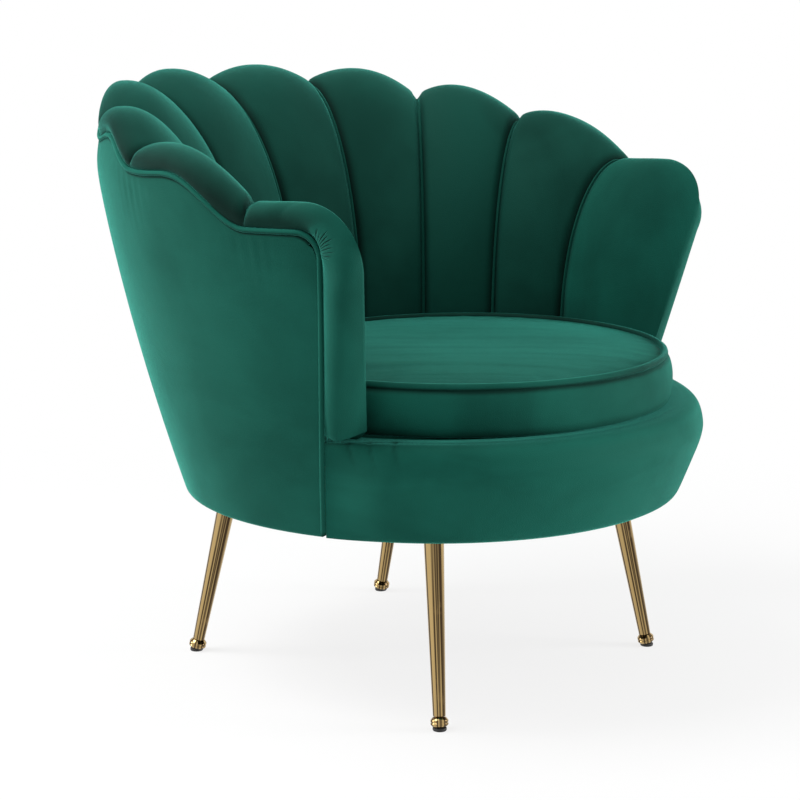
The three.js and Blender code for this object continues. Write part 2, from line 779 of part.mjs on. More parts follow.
function addLeg(leg) {
  const padTop = padHeight;
  const glideLow = padTop + seatGap;
  const glideTop = glideLow + glideHeight;
  const legLow = glideTop + seatGap;
  const plateLow = baseBoardLow - seatGap - plateThickness;
  const legTop = plateLow - seatGap;
  add(`foot_pad_${leg.name}`, lean(drum(padRadius, 0, padTop, roundSides), leg), blackRubber());
  const glide = [
    [0, glideLow],
    [padRadius, glideLow],
    [glideRadius, lerp(glideLow, glideTop, glideShares[0])],
    [glideRadius, lerp(glideLow, glideTop, glideShares[1])],
    [legBottomRadius, glideTop],
    [0, glideTop],
  ];
  add(`glide_${leg.name}`, lean(turned(glide, roundSides), leg), brass());
  const tube = [[0, legLow], [legBottomRadius, legLow], [legTopRadius, legTop], [0, legTop]];
  add(`leg_${leg.name}`, lean(turned(tube, roundSides), leg), brass());
  const plate = [
    [0, plateLow],
    [plateRadius, plateLow],
    [plateRadius, plateLow + plateThickness],
    [studRadius, plateLow + plateThickness],
    [studRadius, plateLow + plateThickness + studLength],
    [0, plateLow + plateThickness + studLength],
  ];
  const x = leg.side * leg.topX;
  add(`leg_plate_${leg.name}`, turned(plate, roundSides), steel()).position.set(x, leg.topY, 0);
  const bore = studRadius + holeClearance;
  const nut = [
    [bore, baseBoardLow + seatGap],
    [teeNutRadius, baseBoardLow + seatGap],
    [teeNutRadius, baseBoardTop + seatGap],
    [teeNutFlange, baseBoardTop + seatGap],
    [teeNutFlange, baseBoardTop + seatGap + teeNutFlangeThickness],
    [bore, baseBoardTop + seatGap + teeNutFlangeThickness],
    [bore, baseBoardLow + seatGap],
  ];
  add(`tee_nut_${leg.name}`, turned(nut, roundSides), steel()).position.set(x, leg.topY, 0);
}

// Cushion: round at the front and sides, a little flatter where it meets the back.

function cushionPoint(turn, radius, height) {
  const rear = Math.max(0, Math.cos(turn));
  const trim = lerp(1, cushionRearShare, rear * rear);
  const reach = radius * trim;
  return new THREE.Vector3(reach * Math.sin(turn), reach * Math.cos(turn) - cushionSetback, height);
}

// A closed body from rings of radius and height: the first and last ring close on the cushion's axis.
function cushionBody(rings) {
  const rows = [];
  for (let i = 0; i <= cushionColumns; i += 1) {
    const turn = 2 * Math.PI * (i % cushionColumns) / cushionColumns;
    rows.push(rings.map(([radius, height]) => cushionPoint(turn, radius, height)));
  }
  const body = new Body();
  body.grid(rows);
  return body.geometry();
}

const cushionBottom = deckHeight + seatGap;
const cushionSide = cushionTopSeam - cushionBottom;

function sideRings(inset) {
  const draw = cushionDrawIn / 2;
  const swell = [cushionFoot, cushionBelly - draw, cushionBelly, cushionRadius + draw];
  return cushionSideShares.map((share, i) => [swell[i] - inset, cushionBottom + cushionSide * share]);
}

function crownRings(edge, low, inset) {
  const ring = (share) => [edge * share, low + cushionCrown * (1 - share ** cushionCrownPower) - inset];
  return cushionCrownShares.map(ring).reverse();
}

function addCushion() {
  const wall = cushionCoverThickness;
  const panelEdge = cushionRadius - cushionWeltRadius - cushionWeltGap;
  const coreInset = wall + seatGap;
  const sides = sideRings(0);
  const sideInner = sideRings(wall);
  const bandTop = cushionTopSeam - cushionWeltRadius - cushionWeltGap;
  const core = [
    [0, cushionBottom + coreInset],
    [cushionFoot - coreFootInset, cushionBottom + coreInset],
    ...sideRings(coreInset).slice(1, -1),
    [panelEdge - cushionWeltRadius, cushionTopSeam - coreInset],
    ...crownRings(panelEdge, cushionTopSeam, coreInset),
    [0, cushionTopSeam + cushionCrown - coreInset],
  ];
  add('cushion_core', cushionBody(core), foam());
  const top = [
    [0, cushionTopSeam + cushionCrown - wall],
    ...crownRings(panelEdge, cushionTopSeam, wall).reverse(),
    [panelEdge, cushionTopSeam - wall],
    [panelEdge, cushionTopSeam],
    ...crownRings(panelEdge, cushionTopSeam, 0),
    [0, cushionTopSeam + cushionCrown],
  ];
  add('cushion_top_panel', cushionBody(top), cloth());
  const bottomEdge = cushionFoot - 2 * cushionWeltRadius;
  const bottom = [
    [0, cushionBottom],
    [bottomEdge, cushionBottom],
    [bottomEdge, cushionBottom + wall],
    [0, cushionBottom + wall],
  ];
  add('cushion_bottom_panel', cushionBody(bottom), cloth());
  const bandLow = cushionBottom + 2 * cushionWeltRadius + seatGap;
  const band = [
    [cushionFoot + cushionDrawIn / 2, bandLow],
    ...sides.slice(1),
    [cushionRadius - wall / 2, bandTop],
    [cushionRadius - wall / 2 - wall, bandTop],
    ...sideInner.slice(1).reverse(),
    [cushionFoot + cushionDrawIn / 2 - wall, bandLow],
    [cushionFoot + cushionDrawIn / 2, bandLow],
  ];
  add('cushion_boxing', cushionBody(band), cloth());
  const lowWelt = bottomEdge + cushionWeltGap + cushionWeltRadius;
  const topCord = weltRings(cushionRadius, cushionTopSeam);
  const bottomCord = weltRings(lowWelt, cushionBottom + cushionWeltRadius);
  add('cushion_top_welt', cushionBody(topCord), pipingCloth());
  add('cushion_bottom_welt', cushionBody(bottomCord), pipingCloth());
  add('cushion_zip', cushionZip(), blackCloth());
}

// A round cord's section at a radius and height.
function weltRings(radius, height) {
  return Array.from({ length: weltSides + 1 }, (_, i) => {
    const turn = 2 * Math.PI * (i % weltSides) / weltSides;
    return [radius + cushionWeltRadius * Math.cos(turn), height + cushionWeltRadius * Math.sin(turn)];
  });
}

// The zip runs along the middle of the boxing, at the back.
function cushionZip() {
  const middle = cushionBottom + cushionSide * cushionSideShares[2];
  const inner = cushionBelly + seatGap;
  const reach = zipLength / 2 / (cushionBelly * cushionRearShare);
  const rows = [];
  for (let i = 0; i <= zipColumns; i += 1) {
    const turn = lerp(-reach, reach, i / zipColumns);
    const corner = (radius, rise) => cushionPoint(turn, radius, middle + rise * zipHeight / 2);
    const outer = inner + zipThickness;
    rows.push([corner(inner, -1), corner(outer, -1), corner(outer, 1), corner(inner, 1), corner(inner, -1)]);
  }
  const body = new Body();
  body.grid(rows);
  for (const row of [rows[0], rows.at(-1)]) body.grid([[row[0], row[1]], [row[3], row[2]]]);
  return body.geometry();
}

add('back_frame', wallSheet(coverThickness + layerGap, frameThickness, baseBoardLow, weltRadius), wood());
add('outside_cover', wallSheet(0, coverThickness, bodyBottom, -weltRadius - weltGap), cloth());
add('outside_welt', tube(weltPath(), weltRadius, weltSteps), pipingCloth());

for (const [sideName, side] of [['left', 1], ['right', -1]]) {
  for (let channel = 0; channel <= lastChannel; channel += 1) {
    add(`back_channel_${sideName}_${channel + 1}`, backChannel(channel, side), cloth());
  }
  add(`arm_channel_${sideName}`, armChannel(side), cloth());
}

addBase();
legs.forEach(addLeg);
addCushion();

// The origin is on the floor, under the middle of the chair's depth.
const extent = new THREE.Box3().setFromObject(chair);
chair.position.y = -(extent.min.y + extent.max.y) / 2;

export default chair;
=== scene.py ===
"""Looks of the scallop back tub chair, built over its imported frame.

Metres, +Z up, floor at z = 0. The sitter faces -Y. Angles round the chair start at the back centre.
The shapes of the shell follow the same curves as the solids, with finer steps.
"""

import math

import bmesh
import bpy
import numpy as np
from bpy.props import FloatProperty, FloatVectorProperty, PointerProperty
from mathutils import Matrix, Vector


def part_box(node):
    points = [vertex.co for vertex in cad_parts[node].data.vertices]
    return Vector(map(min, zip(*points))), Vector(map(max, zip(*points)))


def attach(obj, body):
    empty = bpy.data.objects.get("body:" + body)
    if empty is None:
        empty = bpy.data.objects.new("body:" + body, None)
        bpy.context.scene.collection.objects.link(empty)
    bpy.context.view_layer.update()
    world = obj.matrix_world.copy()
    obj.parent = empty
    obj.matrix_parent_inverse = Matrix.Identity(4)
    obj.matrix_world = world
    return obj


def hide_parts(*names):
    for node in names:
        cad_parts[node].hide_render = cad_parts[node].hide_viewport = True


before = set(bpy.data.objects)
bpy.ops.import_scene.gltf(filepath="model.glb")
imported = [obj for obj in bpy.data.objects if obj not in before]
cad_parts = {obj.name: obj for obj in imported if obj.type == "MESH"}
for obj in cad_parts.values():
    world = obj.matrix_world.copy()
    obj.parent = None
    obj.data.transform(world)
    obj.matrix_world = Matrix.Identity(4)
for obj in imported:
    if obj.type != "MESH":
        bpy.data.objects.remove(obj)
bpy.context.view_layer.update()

bl_info = {
    "name": "Scallop Tub Chair",
    "version": (1, 0, 0),
    "blender": (4, 5, 0),
    "location": "View3D > Sidebar > Tub Chair",
    "description": "Velvet, piping and metal of a scallop back tub chair",
    "category": "Add Mesh",
}

# Outer shell: an oval ring at the bottom that widens and leans back as it rises.
BACK_HEIGHT = 0.756
BODY_BOTTOM = 0.235
DECK_HEIGHT = 0.3566
SHELL_TOP = 0.7
SHELL_HALF_WIDTHS = (0.314, 0.408)
SHELL_HALF_DEPTHS = (0.317, 0.396)
SHELL_SETBACKS = (0.051, 0.01)
SHELL_BULGE_SHARE = 0.45
SHOULDER_HEIGHT = 0.656
SHOULDER_SOFTNESS = 0.02
SHOULDER_LEAN_SHARE = 0.38

# Inner face of the back: a round foot at the deck that rolls out to an oval crest.
FOOT_RADIUS = 0.2994
FOOT_SETBACK = 0.1196
CREST_HALF_WIDTH = 0.3723
CREST_HALF_DEPTH = 0.3657
CREST_SETBACK = 0.0154
BEND_START = 0.4

# Seams between channels, from the back centre to the arm.
SEAM_CREST_ANGLES = (0, 26, 51, 74.4, 102)
SEAM_FOOT_ANGLES = (0, 20.7, 38.5, 56.9, 75.7)
SEAM_HEIGHT_SHARES = (0.972, 0.968, 0.939, 0.9, 0.8386)
HUMP_SHARES = (0.03, 0.0345, 0.0345, 0.033)
HUMP_PEAK_SHARES = (0.5, 0.5, 0.46, 0.42)
HUMP_FULLNESS = 0.85
HUMP_FADE_POWER = 6
CHANNEL_CROWN = 0.008
CHANNEL_FOOT_CROWN = 0.007
WELT_DROP = 0.022
WELT_HUMP_SHARES = (0.75, 0.75, 0.8, 1.07)
WELT_HUMP_SKEW = 1.15
RIM_BULGE = 0.006
LAST_CHANNEL = len(HUMP_SHARES) - 1

# Arm front.
ARM_HEIGHT = 0.637
ARM_FOOT_ANGLE = 104
ARM_NOSE_HEIGHT = 0.59
ARM_NOSE_FOOT = (0.283, -0.191)
ARM_NOSE_TOP = (0.3425, -0.239)
ARM_NOSE_DEPTH = 0.07
ARM_CORNER_RADIUS = 0.08
ARM_CROWN = 0.011
ARM_WELT_HEIGHT = 0.603
ARM_WELT_CORNER_RADIUS = 0.03
ARM_RIM_BULGE = 0.03
ARM_RIM_FOOT_BULGE = 0.006
ARM_WELT_ANGLES = (106.1, 115.6)
ARM_SPACING_POWER = 1.5
ARM_FOOT_BLEND = 0.02

# Wall build-up.
WELT_RADIUS = 0.004
WELT_GAP = 0.0022
PETAL_BACK = 0.0185
SEAM_GAP = 0.0003

# A cover's edge where it turns in beside the piping: heights in piping radii, and insets in groove depths.
EDGE_RISE_SHARES = (0.95, 0.6, 0.2)
EDGE_INSET_SHARES = (0.25, 0.7, 1.0)

# How covers are drawn in, filled out and shaded near their seams.
SEAM_FALL_POWER = 1.6
RIM_FADE_POWER = 6
EVENING_PASSES = 40
FULL_FROM, FULL_UNTIL = 0.3, 0.86
FULLNESS_POWER = 3
ROLL_SHADE_FADE = (0.8, 1.15)
TAB_WIDTH_SHARE = 0.2
TAB_CORNER_START = 0.6
TAB_CORNER_ROWS = 3
TAB_LIFT_POWER = 1.5
CORD_SHOWN_SHARE = 0.8
CORD_DIVE_RADII = 3
CORD_DIVE_ROWS = (-5, 3)
CORD_END_ROWS = 5

COVER_THICKNESS = 0.004

# Seat base.
APRON_HALF_WIDTH = 0.347
APRON_HALF_DEPTH = 0.349
APRON_SETBACK = 0.054
APRON_RADIUS_SHARES = (0.897, 0.92, 0.95, 0.98, 0.997, 1, 0.985, 0.955, 0.915)
APRON_HEIGHT_SHARES = (0, 0.045, 0.22, 0.45, 0.63, 0.75, 0.9, 0.975, 1)
BOARD_RADIUS = 0.296
BOARD_COVER = 0.006
APRON_TOP_SHADE_BAND = (0.72, 0.86)
CREASE_BAND = ((0.5, 0.75), (0.9, 0.97))
CREASE_LEAN = 1.25

# Loose cushion.
CUSHION_TOP_SEAM = 0.416
CUSHION_CROWN = 0.015
CUSHION_CROWN_POWER = 2.4
CUSHION_RADIUS = 0.269
CUSHION_BELLY = 0.28
CUSHION_FOOT = 0.272
CUSHION_SETBACK = 0.088
CUSHION_REAR_SHARE = 0.89
CUSHION_WELT_RADIUS = 0.0045
CUSHION_SIDE_REACHES = (-0.0051, 0.0025, 0.0075, 0.0103, 0.011, 0.0105, 0.0095, 0.0075, 0.0045, 0.0022)
CUSHION_SIDE_RISES = (1, 0.95, 0.83, 0.64, 0.455, 0.27, 0.135, 0.04, 0.006, 0.03)
CUSHION_DROOP_START = 0.93
CUSHION_LOW_SHADE = 0.4
RIPPLE_WAVES = ((61, 0.3), (37, 0.5))
RIPPLE_SHIFT = (5, 2)
RIPPLE_START = 0.004
SEAT_GAP = 0.0003

# The origin is under the middle of the chair's depth, so the base board says how far all was moved.
BASE_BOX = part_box("base_board")
SHIFT_Y = (BASE_BOX[0].y + BASE_BOX[1].y) / 2 + SHELL_SETBACKS[0]

# Steps of the grids.
CHANNEL_COLUMNS = 40
FOOT_ROWS = 6
BEND_ROWS = 44
RIM_ROWS = 16
BACK_ROWS = 10
ARM_COLUMNS = 48
COVER_ROWS = 64
HEM_ROWS = 8
APRON_COLUMNS = 220
APRON_ROWS = 60
APRON_TOP_ROWS = 7
PIPING_CORNER_STEPS = 16
PIPING_FRONT_STEPS = 60
CUSHION_COLUMNS = 200
CUSHION_TOP_ROWS = 34
CUSHION_SIDE_ROWS = 40
CUSHION_BOTTOM_ROWS = 20

SIDES = {"left": 1, "right": -1}
BODY = "chair"
CUSHION_BODY = "cushion"


# Small maths on arrays.


def lerp(a, b, share):
    return a + (b - a) * share


def smooth_step(low, high, value):
    share = np.clip((value - low) / (high - low), 0, 1)
    return share * share * (3 - 2 * share)


def between(table, channel, share):
    return lerp(table[channel], table[channel + 1], share)


def places(*parts):
    """Arrays of x, y and z as one array of points."""
    return np.stack(np.broadcast_arrays(*parts), axis=-1).astype(float)


def unit(vectors):
    return vectors / np.maximum(np.linalg.norm(vectors, axis=-1, keepdims=True), 1e-12)


def mirrored(points, side):
    return points * np.array([side, 1, 1])


def grid_normals(grid):
    """Unit normals of a grid of points, to the left of its columns seen along its rows."""
    return unit(np.cross(np.gradient(grid, axis=0), np.gradient(grid, axis=1)))


# Curves of the shell.


def shell_swell(height):
    rise = (height - BODY_BOTTOM) / (SHELL_TOP - BODY_BOTTOM)
    return rise, rise + SHELL_BULGE_SHARE * rise * (1 - rise)


def shell_point(angle, height, inset=0.0):
    """The outer shell's face at an angle in degrees and a height, moved inwards by an inset."""
    rise, swell = shell_swell(height)
    above = height - SHOULDER_HEIGHT
    lean = SHOULDER_LEAN_SHARE * (above + np.hypot(above, SHOULDER_SOFTNESS)) / 2
    half_width = lerp(*SHELL_HALF_WIDTHS, swell) - lean - inset
    half_depth = lerp(*SHELL_HALF_DEPTHS, swell) - lean - inset
    turn = np.radians(angle)
    y = half_depth * np.cos(turn) - lerp(*SHELL_SETBACKS, rise) + SHIFT_Y
    return places(half_width * np.sin(turn), y, height)


def hump(channel, share):
    """The scallop of a channel's crest, 0 at both seams and 1 at its peak."""
    skew = -math.log(2) / math.log(HUMP_PEAK_SHARES[channel])
    return np.abs(np.sin(np.pi * share**skew)) ** HUMP_FULLNESS


def notch_line(channel, share):
    """Height of the straight line between a channel's two notches."""
    return BACK_HEIGHT * between(SEAM_HEIGHT_SHARES, channel, share)


def hump_rise(channel, share):
    """Height of a channel's crest over the line between its notches."""
    return BACK_HEIGHT * HUMP_SHARES[channel] * hump(channel, share)


def welt_height(channel, share):
    """The welt's wave, softer than the crest's. It glides down to the arm in an S."""
    wave = np.sin(np.pi * share**WELT_HUMP_SKEW) ** 2
    rise = BACK_HEIGHT * WELT_HUMP_SHARES[channel] * HUMP_SHARES[channel] * wave
    if channel < LAST_CHANNEL:
        return notch_line(channel, share) + rise - WELT_DROP
    arm_drop = BACK_HEIGHT * SEAM_HEIGHT_SHARES[-1] - ARM_WELT_HEIGHT
    return notch_line(channel, smooth_step(0, 1, share)) + rise - lerp(WELT_DROP, arm_drop, share)


def foot_point(angle, crown):
    turn = np.radians(angle)
    radius = FOOT_RADIUS - crown
    return radius * np.sin(turn), radius * np.cos(turn) - FOOT_SETBACK + SHIFT_Y


def crest_point(angle):
    turn = np.radians(angle)
    y = CREST_HALF_DEPTH * np.cos(turn) - CREST_SETBACK + SHIFT_Y
    return CREST_HALF_WIDTH * np.sin(turn), y


def round_rim(crest, welt, inwards, bulge):
    """Rows of a quarter ellipse from the crest to the welt, bulged outwards."""
    away = welt - crest
    along = inwards * np.sum(away * inwards, axis=-1, keepdims=True)
    outwards = away - along
    side = unit(outwards * np.array([1, 1, 0]))
    rows = []
    for step in range(1, RIM_ROWS + 1):
        turn = math.pi / 2 * step / RIM_ROWS
        fade = math.sin(turn) * math.cos(turn / 2) ** 2 * (1 - (step / RIM_ROWS) ** RIM_FADE_POWER)
        row = crest + outwards * math.sin(turn) + along * (1 - math.cos(turn))
        rows.append(row + side * np.asarray(bulge)[..., None] * fade)
    return rows


# Rows of a channel from its foot to its crest: a height share, or a turn of the bend.
PETAL_FOOT = DECK_HEIGHT + SEAT_GAP
FOOT_HEIGHTS = np.linspace(PETAL_FOOT, BEND_START, FOOT_ROWS, endpoint=False)
BEND_TURNS = np.linspace(0, np.pi / 2, BEND_ROWS + 1)


def channel_face(channel, shares):
    """Points of a back channel's face, a row of columns for each share."""
    crown = 1 - (2 * shares - 1) ** 2
    foot = np.stack(foot_point(between(SEAM_FOOT_ANGLES, channel, shares), CHANNEL_FOOT_CROWN * crown), -1)
    crest = np.stack(crest_point(between(SEAM_CREST_ANGLES, channel, shares)), -1)
    notch, rise = notch_line(channel, shares), hump_rise(channel, shares)
    inward = unit(foot - crest)
    rows = [places(foot[:, 0], foot[:, 1], z) for z in FOOT_HEIGHTS]
    for turn in BEND_TURNS:
        lift = CHANNEL_CROWN * crown * math.sin(2 * turn)
        plan = foot + (crest - foot) * (1 - math.cos(turn)) + inward * (lift * math.cos(turn))[:, None]
        height = lerp(BEND_START, notch, math.sin(turn)) + rise * math.sin(turn) ** HUMP_FADE_POWER
        rows.append(places(plan[:, 0], plan[:, 1], height + lift * math.sin(turn)))
    return np.stack(rows, axis=1)


def corner_place(distance, height, radius, length, top):
    """Rounds the arm's front top corner."""
    forward = np.maximum(1 - (length - distance) / radius, 0)
    up = np.maximum(1 - (top - height) / radius, 0)
    x = np.where(forward > 0, forward * np.sqrt(1 - up * up / 2), 0)
    z = np.where(up > 0, up * np.sqrt(1 - forward * forward / 2), 0)
    distance = np.where(forward > 0, length - radius * (1 - x), distance)
    return distance, np.where(up > 0, top - radius * (1 - z), height)


def arm_welt_angle(height):
    rise = np.clip((height - BODY_BOTTOM) / (ARM_WELT_HEIGHT - BODY_BOTTOM), 0, 1)
    return lerp(*ARM_WELT_ANGLES, rise + SHELL_BULGE_SHARE * rise * (1 - rise))


ARM_START = SEAM_CREST_ANGLES[-1]
ARM_ARC = math.radians(ARM_WELT_ANGLES[1] - ARM_START) * (SHELL_HALF_WIDTHS[1] + SHELL_HALF_DEPTHS[1]) / 2


def arm_wall_point(share, height, inset, edge_inset, top):
    """A place on the arm's outer wall, at a share of the way from the last seam to the front."""
    distance, z = corner_place(share * ARM_ARC, height, ARM_WELT_CORNER_RADIUS, ARM_ARC, top)
    end = arm_welt_angle(z) - math.degrees(edge_inset / SHELL_HALF_WIDTHS[1])
    return shell_point(lerp(ARM_START, end, distance / ARM_ARC), z, inset)


def arm_nose(height):
    rise = (height - DECK_HEIGHT) / (ARM_NOSE_HEIGHT - DECK_HEIGHT)
    foot, top = np.array(ARM_NOSE_FOOT), np.array(ARM_NOSE_TOP)
    return lerp(foot[0], top[0], rise), lerp(foot[1], top[1], rise) + SHIFT_Y


ARM_SEAM_CREST = np.array(crest_point(ARM_START))
ARM_LENGTH = float(np.linalg.norm(ARM_SEAM_CREST - np.array(arm_nose(ARM_HEIGHT))))
ARM_SHARES = 1 - (1 - np.linspace(0, 1, ARM_COLUMNS + 1)) ** ARM_SPACING_POWER


def arm_face_row(shares, turn, foot):
    """One row of the arm's inner face."""
    seam_top = BACK_HEIGHT * SEAM_HEIGHT_SHARES[-1]
    top = lerp(seam_top, ARM_HEIGHT, smooth_step(0, 1, shares * ARM_LENGTH / ARM_CORNER_RADIUS))
    height = np.full_like(shares, foot) if foot is not None else lerp(BEND_START, top, math.sin(turn))
    distance, z = corner_place(shares * ARM_LENGTH, height, ARM_CORNER_RADIUS, ARM_LENGTH, top)
    place = distance / ARM_LENGTH
    nose = np.stack(arm_nose(z), -1)
    sheet = ARM_SEAM_CREST + (nose - ARM_SEAM_CREST) * place[:, None]
    crown = ARM_CROWN * (1 - (2 * shares - 1) ** 2)
    deep = np.stack(foot_point(lerp(SEAM_FOOT_ANGLES[-1], ARM_FOOT_ANGLE, place), crown), -1)
    closing = np.maximum(0, 1 - (1 - shares) * ARM_LENGTH / ARM_NOSE_DEPTH)
    depth = math.cos(turn) * np.sqrt(1 - closing * closing)
    plan = sheet + (deep - sheet) * depth[:, None]
    return places(plan[:, 0], plan[:, 1], z)


# Meshes.


def deselect_all():
    if bpy.context.mode != "OBJECT":
        bpy.ops.object.mode_set(mode="OBJECT")
    bpy.ops.object.select_all(action="DESELECT")


def activate(piece):
    deselect_all()
    piece.select_set(True)
    bpy.context.view_layer.objects.active = piece


def grid_faces(columns, rows, first=0):
    """Quads of a grid of points, numbered column by column."""
    corner = np.arange((columns - 1) * rows).reshape(columns - 1, rows)[:, :-1].ravel() + first
    return np.stack([corner, corner + rows, corner + rows + 1, corner + 1], axis=-1)


WELD_DISTANCE = 2e-5
DOWNWARD_SHADE = (0.1, -0.7)


def new_piece(name, points, faces, edges=()):
    """A mesh object in the scene, from lists of points and faces."""
    mesh = bpy.data.meshes.new(name)
    mesh.from_pydata(points, edges, faces)
    piece = bpy.data.objects.new(name, mesh)
    bpy.context.scene.collection.objects.link(piece)
    return piece


class Cloth:
    """Grids of points gathered into one mesh, each with its painted shade from 0 to 1, mostly deep in a seam."""

    def __init__(self):
        self.points = []
        self.faces = []
        self.seams = []
        self.count = 0

    def grid(self, points, seam=0.0):
        columns, rows = points.shape[:2]
        self.faces.append(grid_faces(columns, rows, self.count))
        self.points.append(points.reshape(-1, 3))
        self.seams.append(np.broadcast_to(seam, (columns, rows)).ravel())
        self.count += columns * rows

    def piece(self, name):
        """A mesh object with its grids welded along their shared edges."""
        piece = new_piece(name, np.concatenate(self.points).tolist(), np.concatenate(self.faces).tolist())
        set_painted_shade(piece, np.concatenate(self.seams))
        weld(piece)
        return piece


def set_painted_shade(piece, depth):
    """Stores each point's painted shade, from 0 to 1, which the velvets blend towards their deep colour."""
    seam = piece.data.attributes.get("seam") or piece.data.attributes.new("seam", "FLOAT", "POINT")
    seam.data.foreach_set("value", depth.astype(np.float32))


def edited(piece, *steps):
    """Runs steps in edit mode, with all of the piece selected at first, and points all its faces outwards."""
    activate(piece)
    bpy.ops.object.mode_set(mode="EDIT")
    bpy.ops.mesh.select_all(action="SELECT")
    for step in steps:
        step()
    bpy.ops.mesh.normals_make_consistent(inside=False)
    bpy.ops.object.mode_set(mode="OBJECT")
    deselect_all()


def weld(piece):
    """Merges doubled points."""
    edited(piece, lambda: bpy.ops.mesh.remove_doubles(threshold=WELD_DISTANCE))


def smooth(piece, degrees):
    activate(piece)
    bpy.ops.object.shade_smooth_by_angle(angle=math.radians(degrees))
    deselect_all()


def bevelled(piece, width, segments):
    """Rounds the edges of a piece."""
    bevel = piece.modifiers.new("Edges", "BEVEL")
    bevel.width = width
    bevel.segments = segments
    activate(piece)
    bpy.ops.object.modifier_apply(modifier=bevel.name)
    deselect_all()


def place_in_mesh(piece):
    """Moves a primitive's place, turn and scale into its mesh."""
    activate(piece)
    bpy.ops.object.transform_apply(location=True, rotation=True, scale=True)
    deselect_all()


def finished(piece, name, material, body=BODY, replaced=()):
    """Names a piece, gives it its material, and lets it ride on its body."""
    piece.name = name
    piece.data.materials.clear()
    piece.data.materials.append(material)
    if replaced:
        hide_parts(*replaced)
    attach(piece, body)
    return piece


def underside_shade(piece):
    """Paints shade on the faces that look down, darker the more they turn to the floor."""
    normals = np.zeros(len(piece.data.vertices) * 3, np.float32)
    piece.data.vertex_normals.foreach_get("vector", normals)
    set_painted_shade(piece, smooth_step(*DOWNWARD_SHADE, normals[2::3]))


def piping(name, points, radius, sides, closed=False):
    """A cord laid along a line of points, as a tube with closed ends."""
    curve = bpy.data.curves.new(name, "CURVE")
    curve.dimensions = "3D"
    curve.bevel_depth = radius
    curve.bevel_resolution = max(0, sides // 4 - 1)
    curve.use_fill_caps = not closed
    spline = curve.splines.new("POLY")
    spline.points.add(len(points) - 1)
    spline.points.foreach_set("co", np.column_stack([points, np.ones(len(points))]).ravel())
    spline.use_cyclic_u = closed
    cord = bpy.data.objects.new(name, curve)
    bpy.context.scene.collection.objects.link(cord)
    activate(cord)
    bpy.ops.object.convert(target="MESH")
    cord = bpy.context.object
    weld(cord)
    underside_shade(cord)
    smooth(cord, 50)
    return cord


# Materials.


class Value:
    """A socket in a material, or a number worked out from sockets, that takes part in sums."""

    def __init__(self, paint, socket):
        self.paint = paint
        self.socket = socket

    def _sum(self, operation, first, second=0.0):
        node = self.paint.node("ShaderNodeMath", {"operation": operation}, {0: first, 1: second})
        return Value(self.paint, node.outputs[0])

    def angle(self, other):
        return self._sum("ARCTAN2", self, other)

    def sine(self):
        return self._sum("SINE", self)

    def root(self):
        return self._sum("SQRT", self)

    def __add__(self, other):
        return self._sum("ADD", self, other)

    def __radd__(self, other):
        return self._sum("ADD", other, self)

    def __sub__(self, other):
        return self._sum("SUBTRACT", self, other)

    def __rsub__(self, other):
        return self._sum("SUBTRACT", other, self)

    def __mul__(self, other):
        return self._sum("MULTIPLY", self, other)

    def __rmul__(self, other):
        return self._sum("MULTIPLY", other, self)


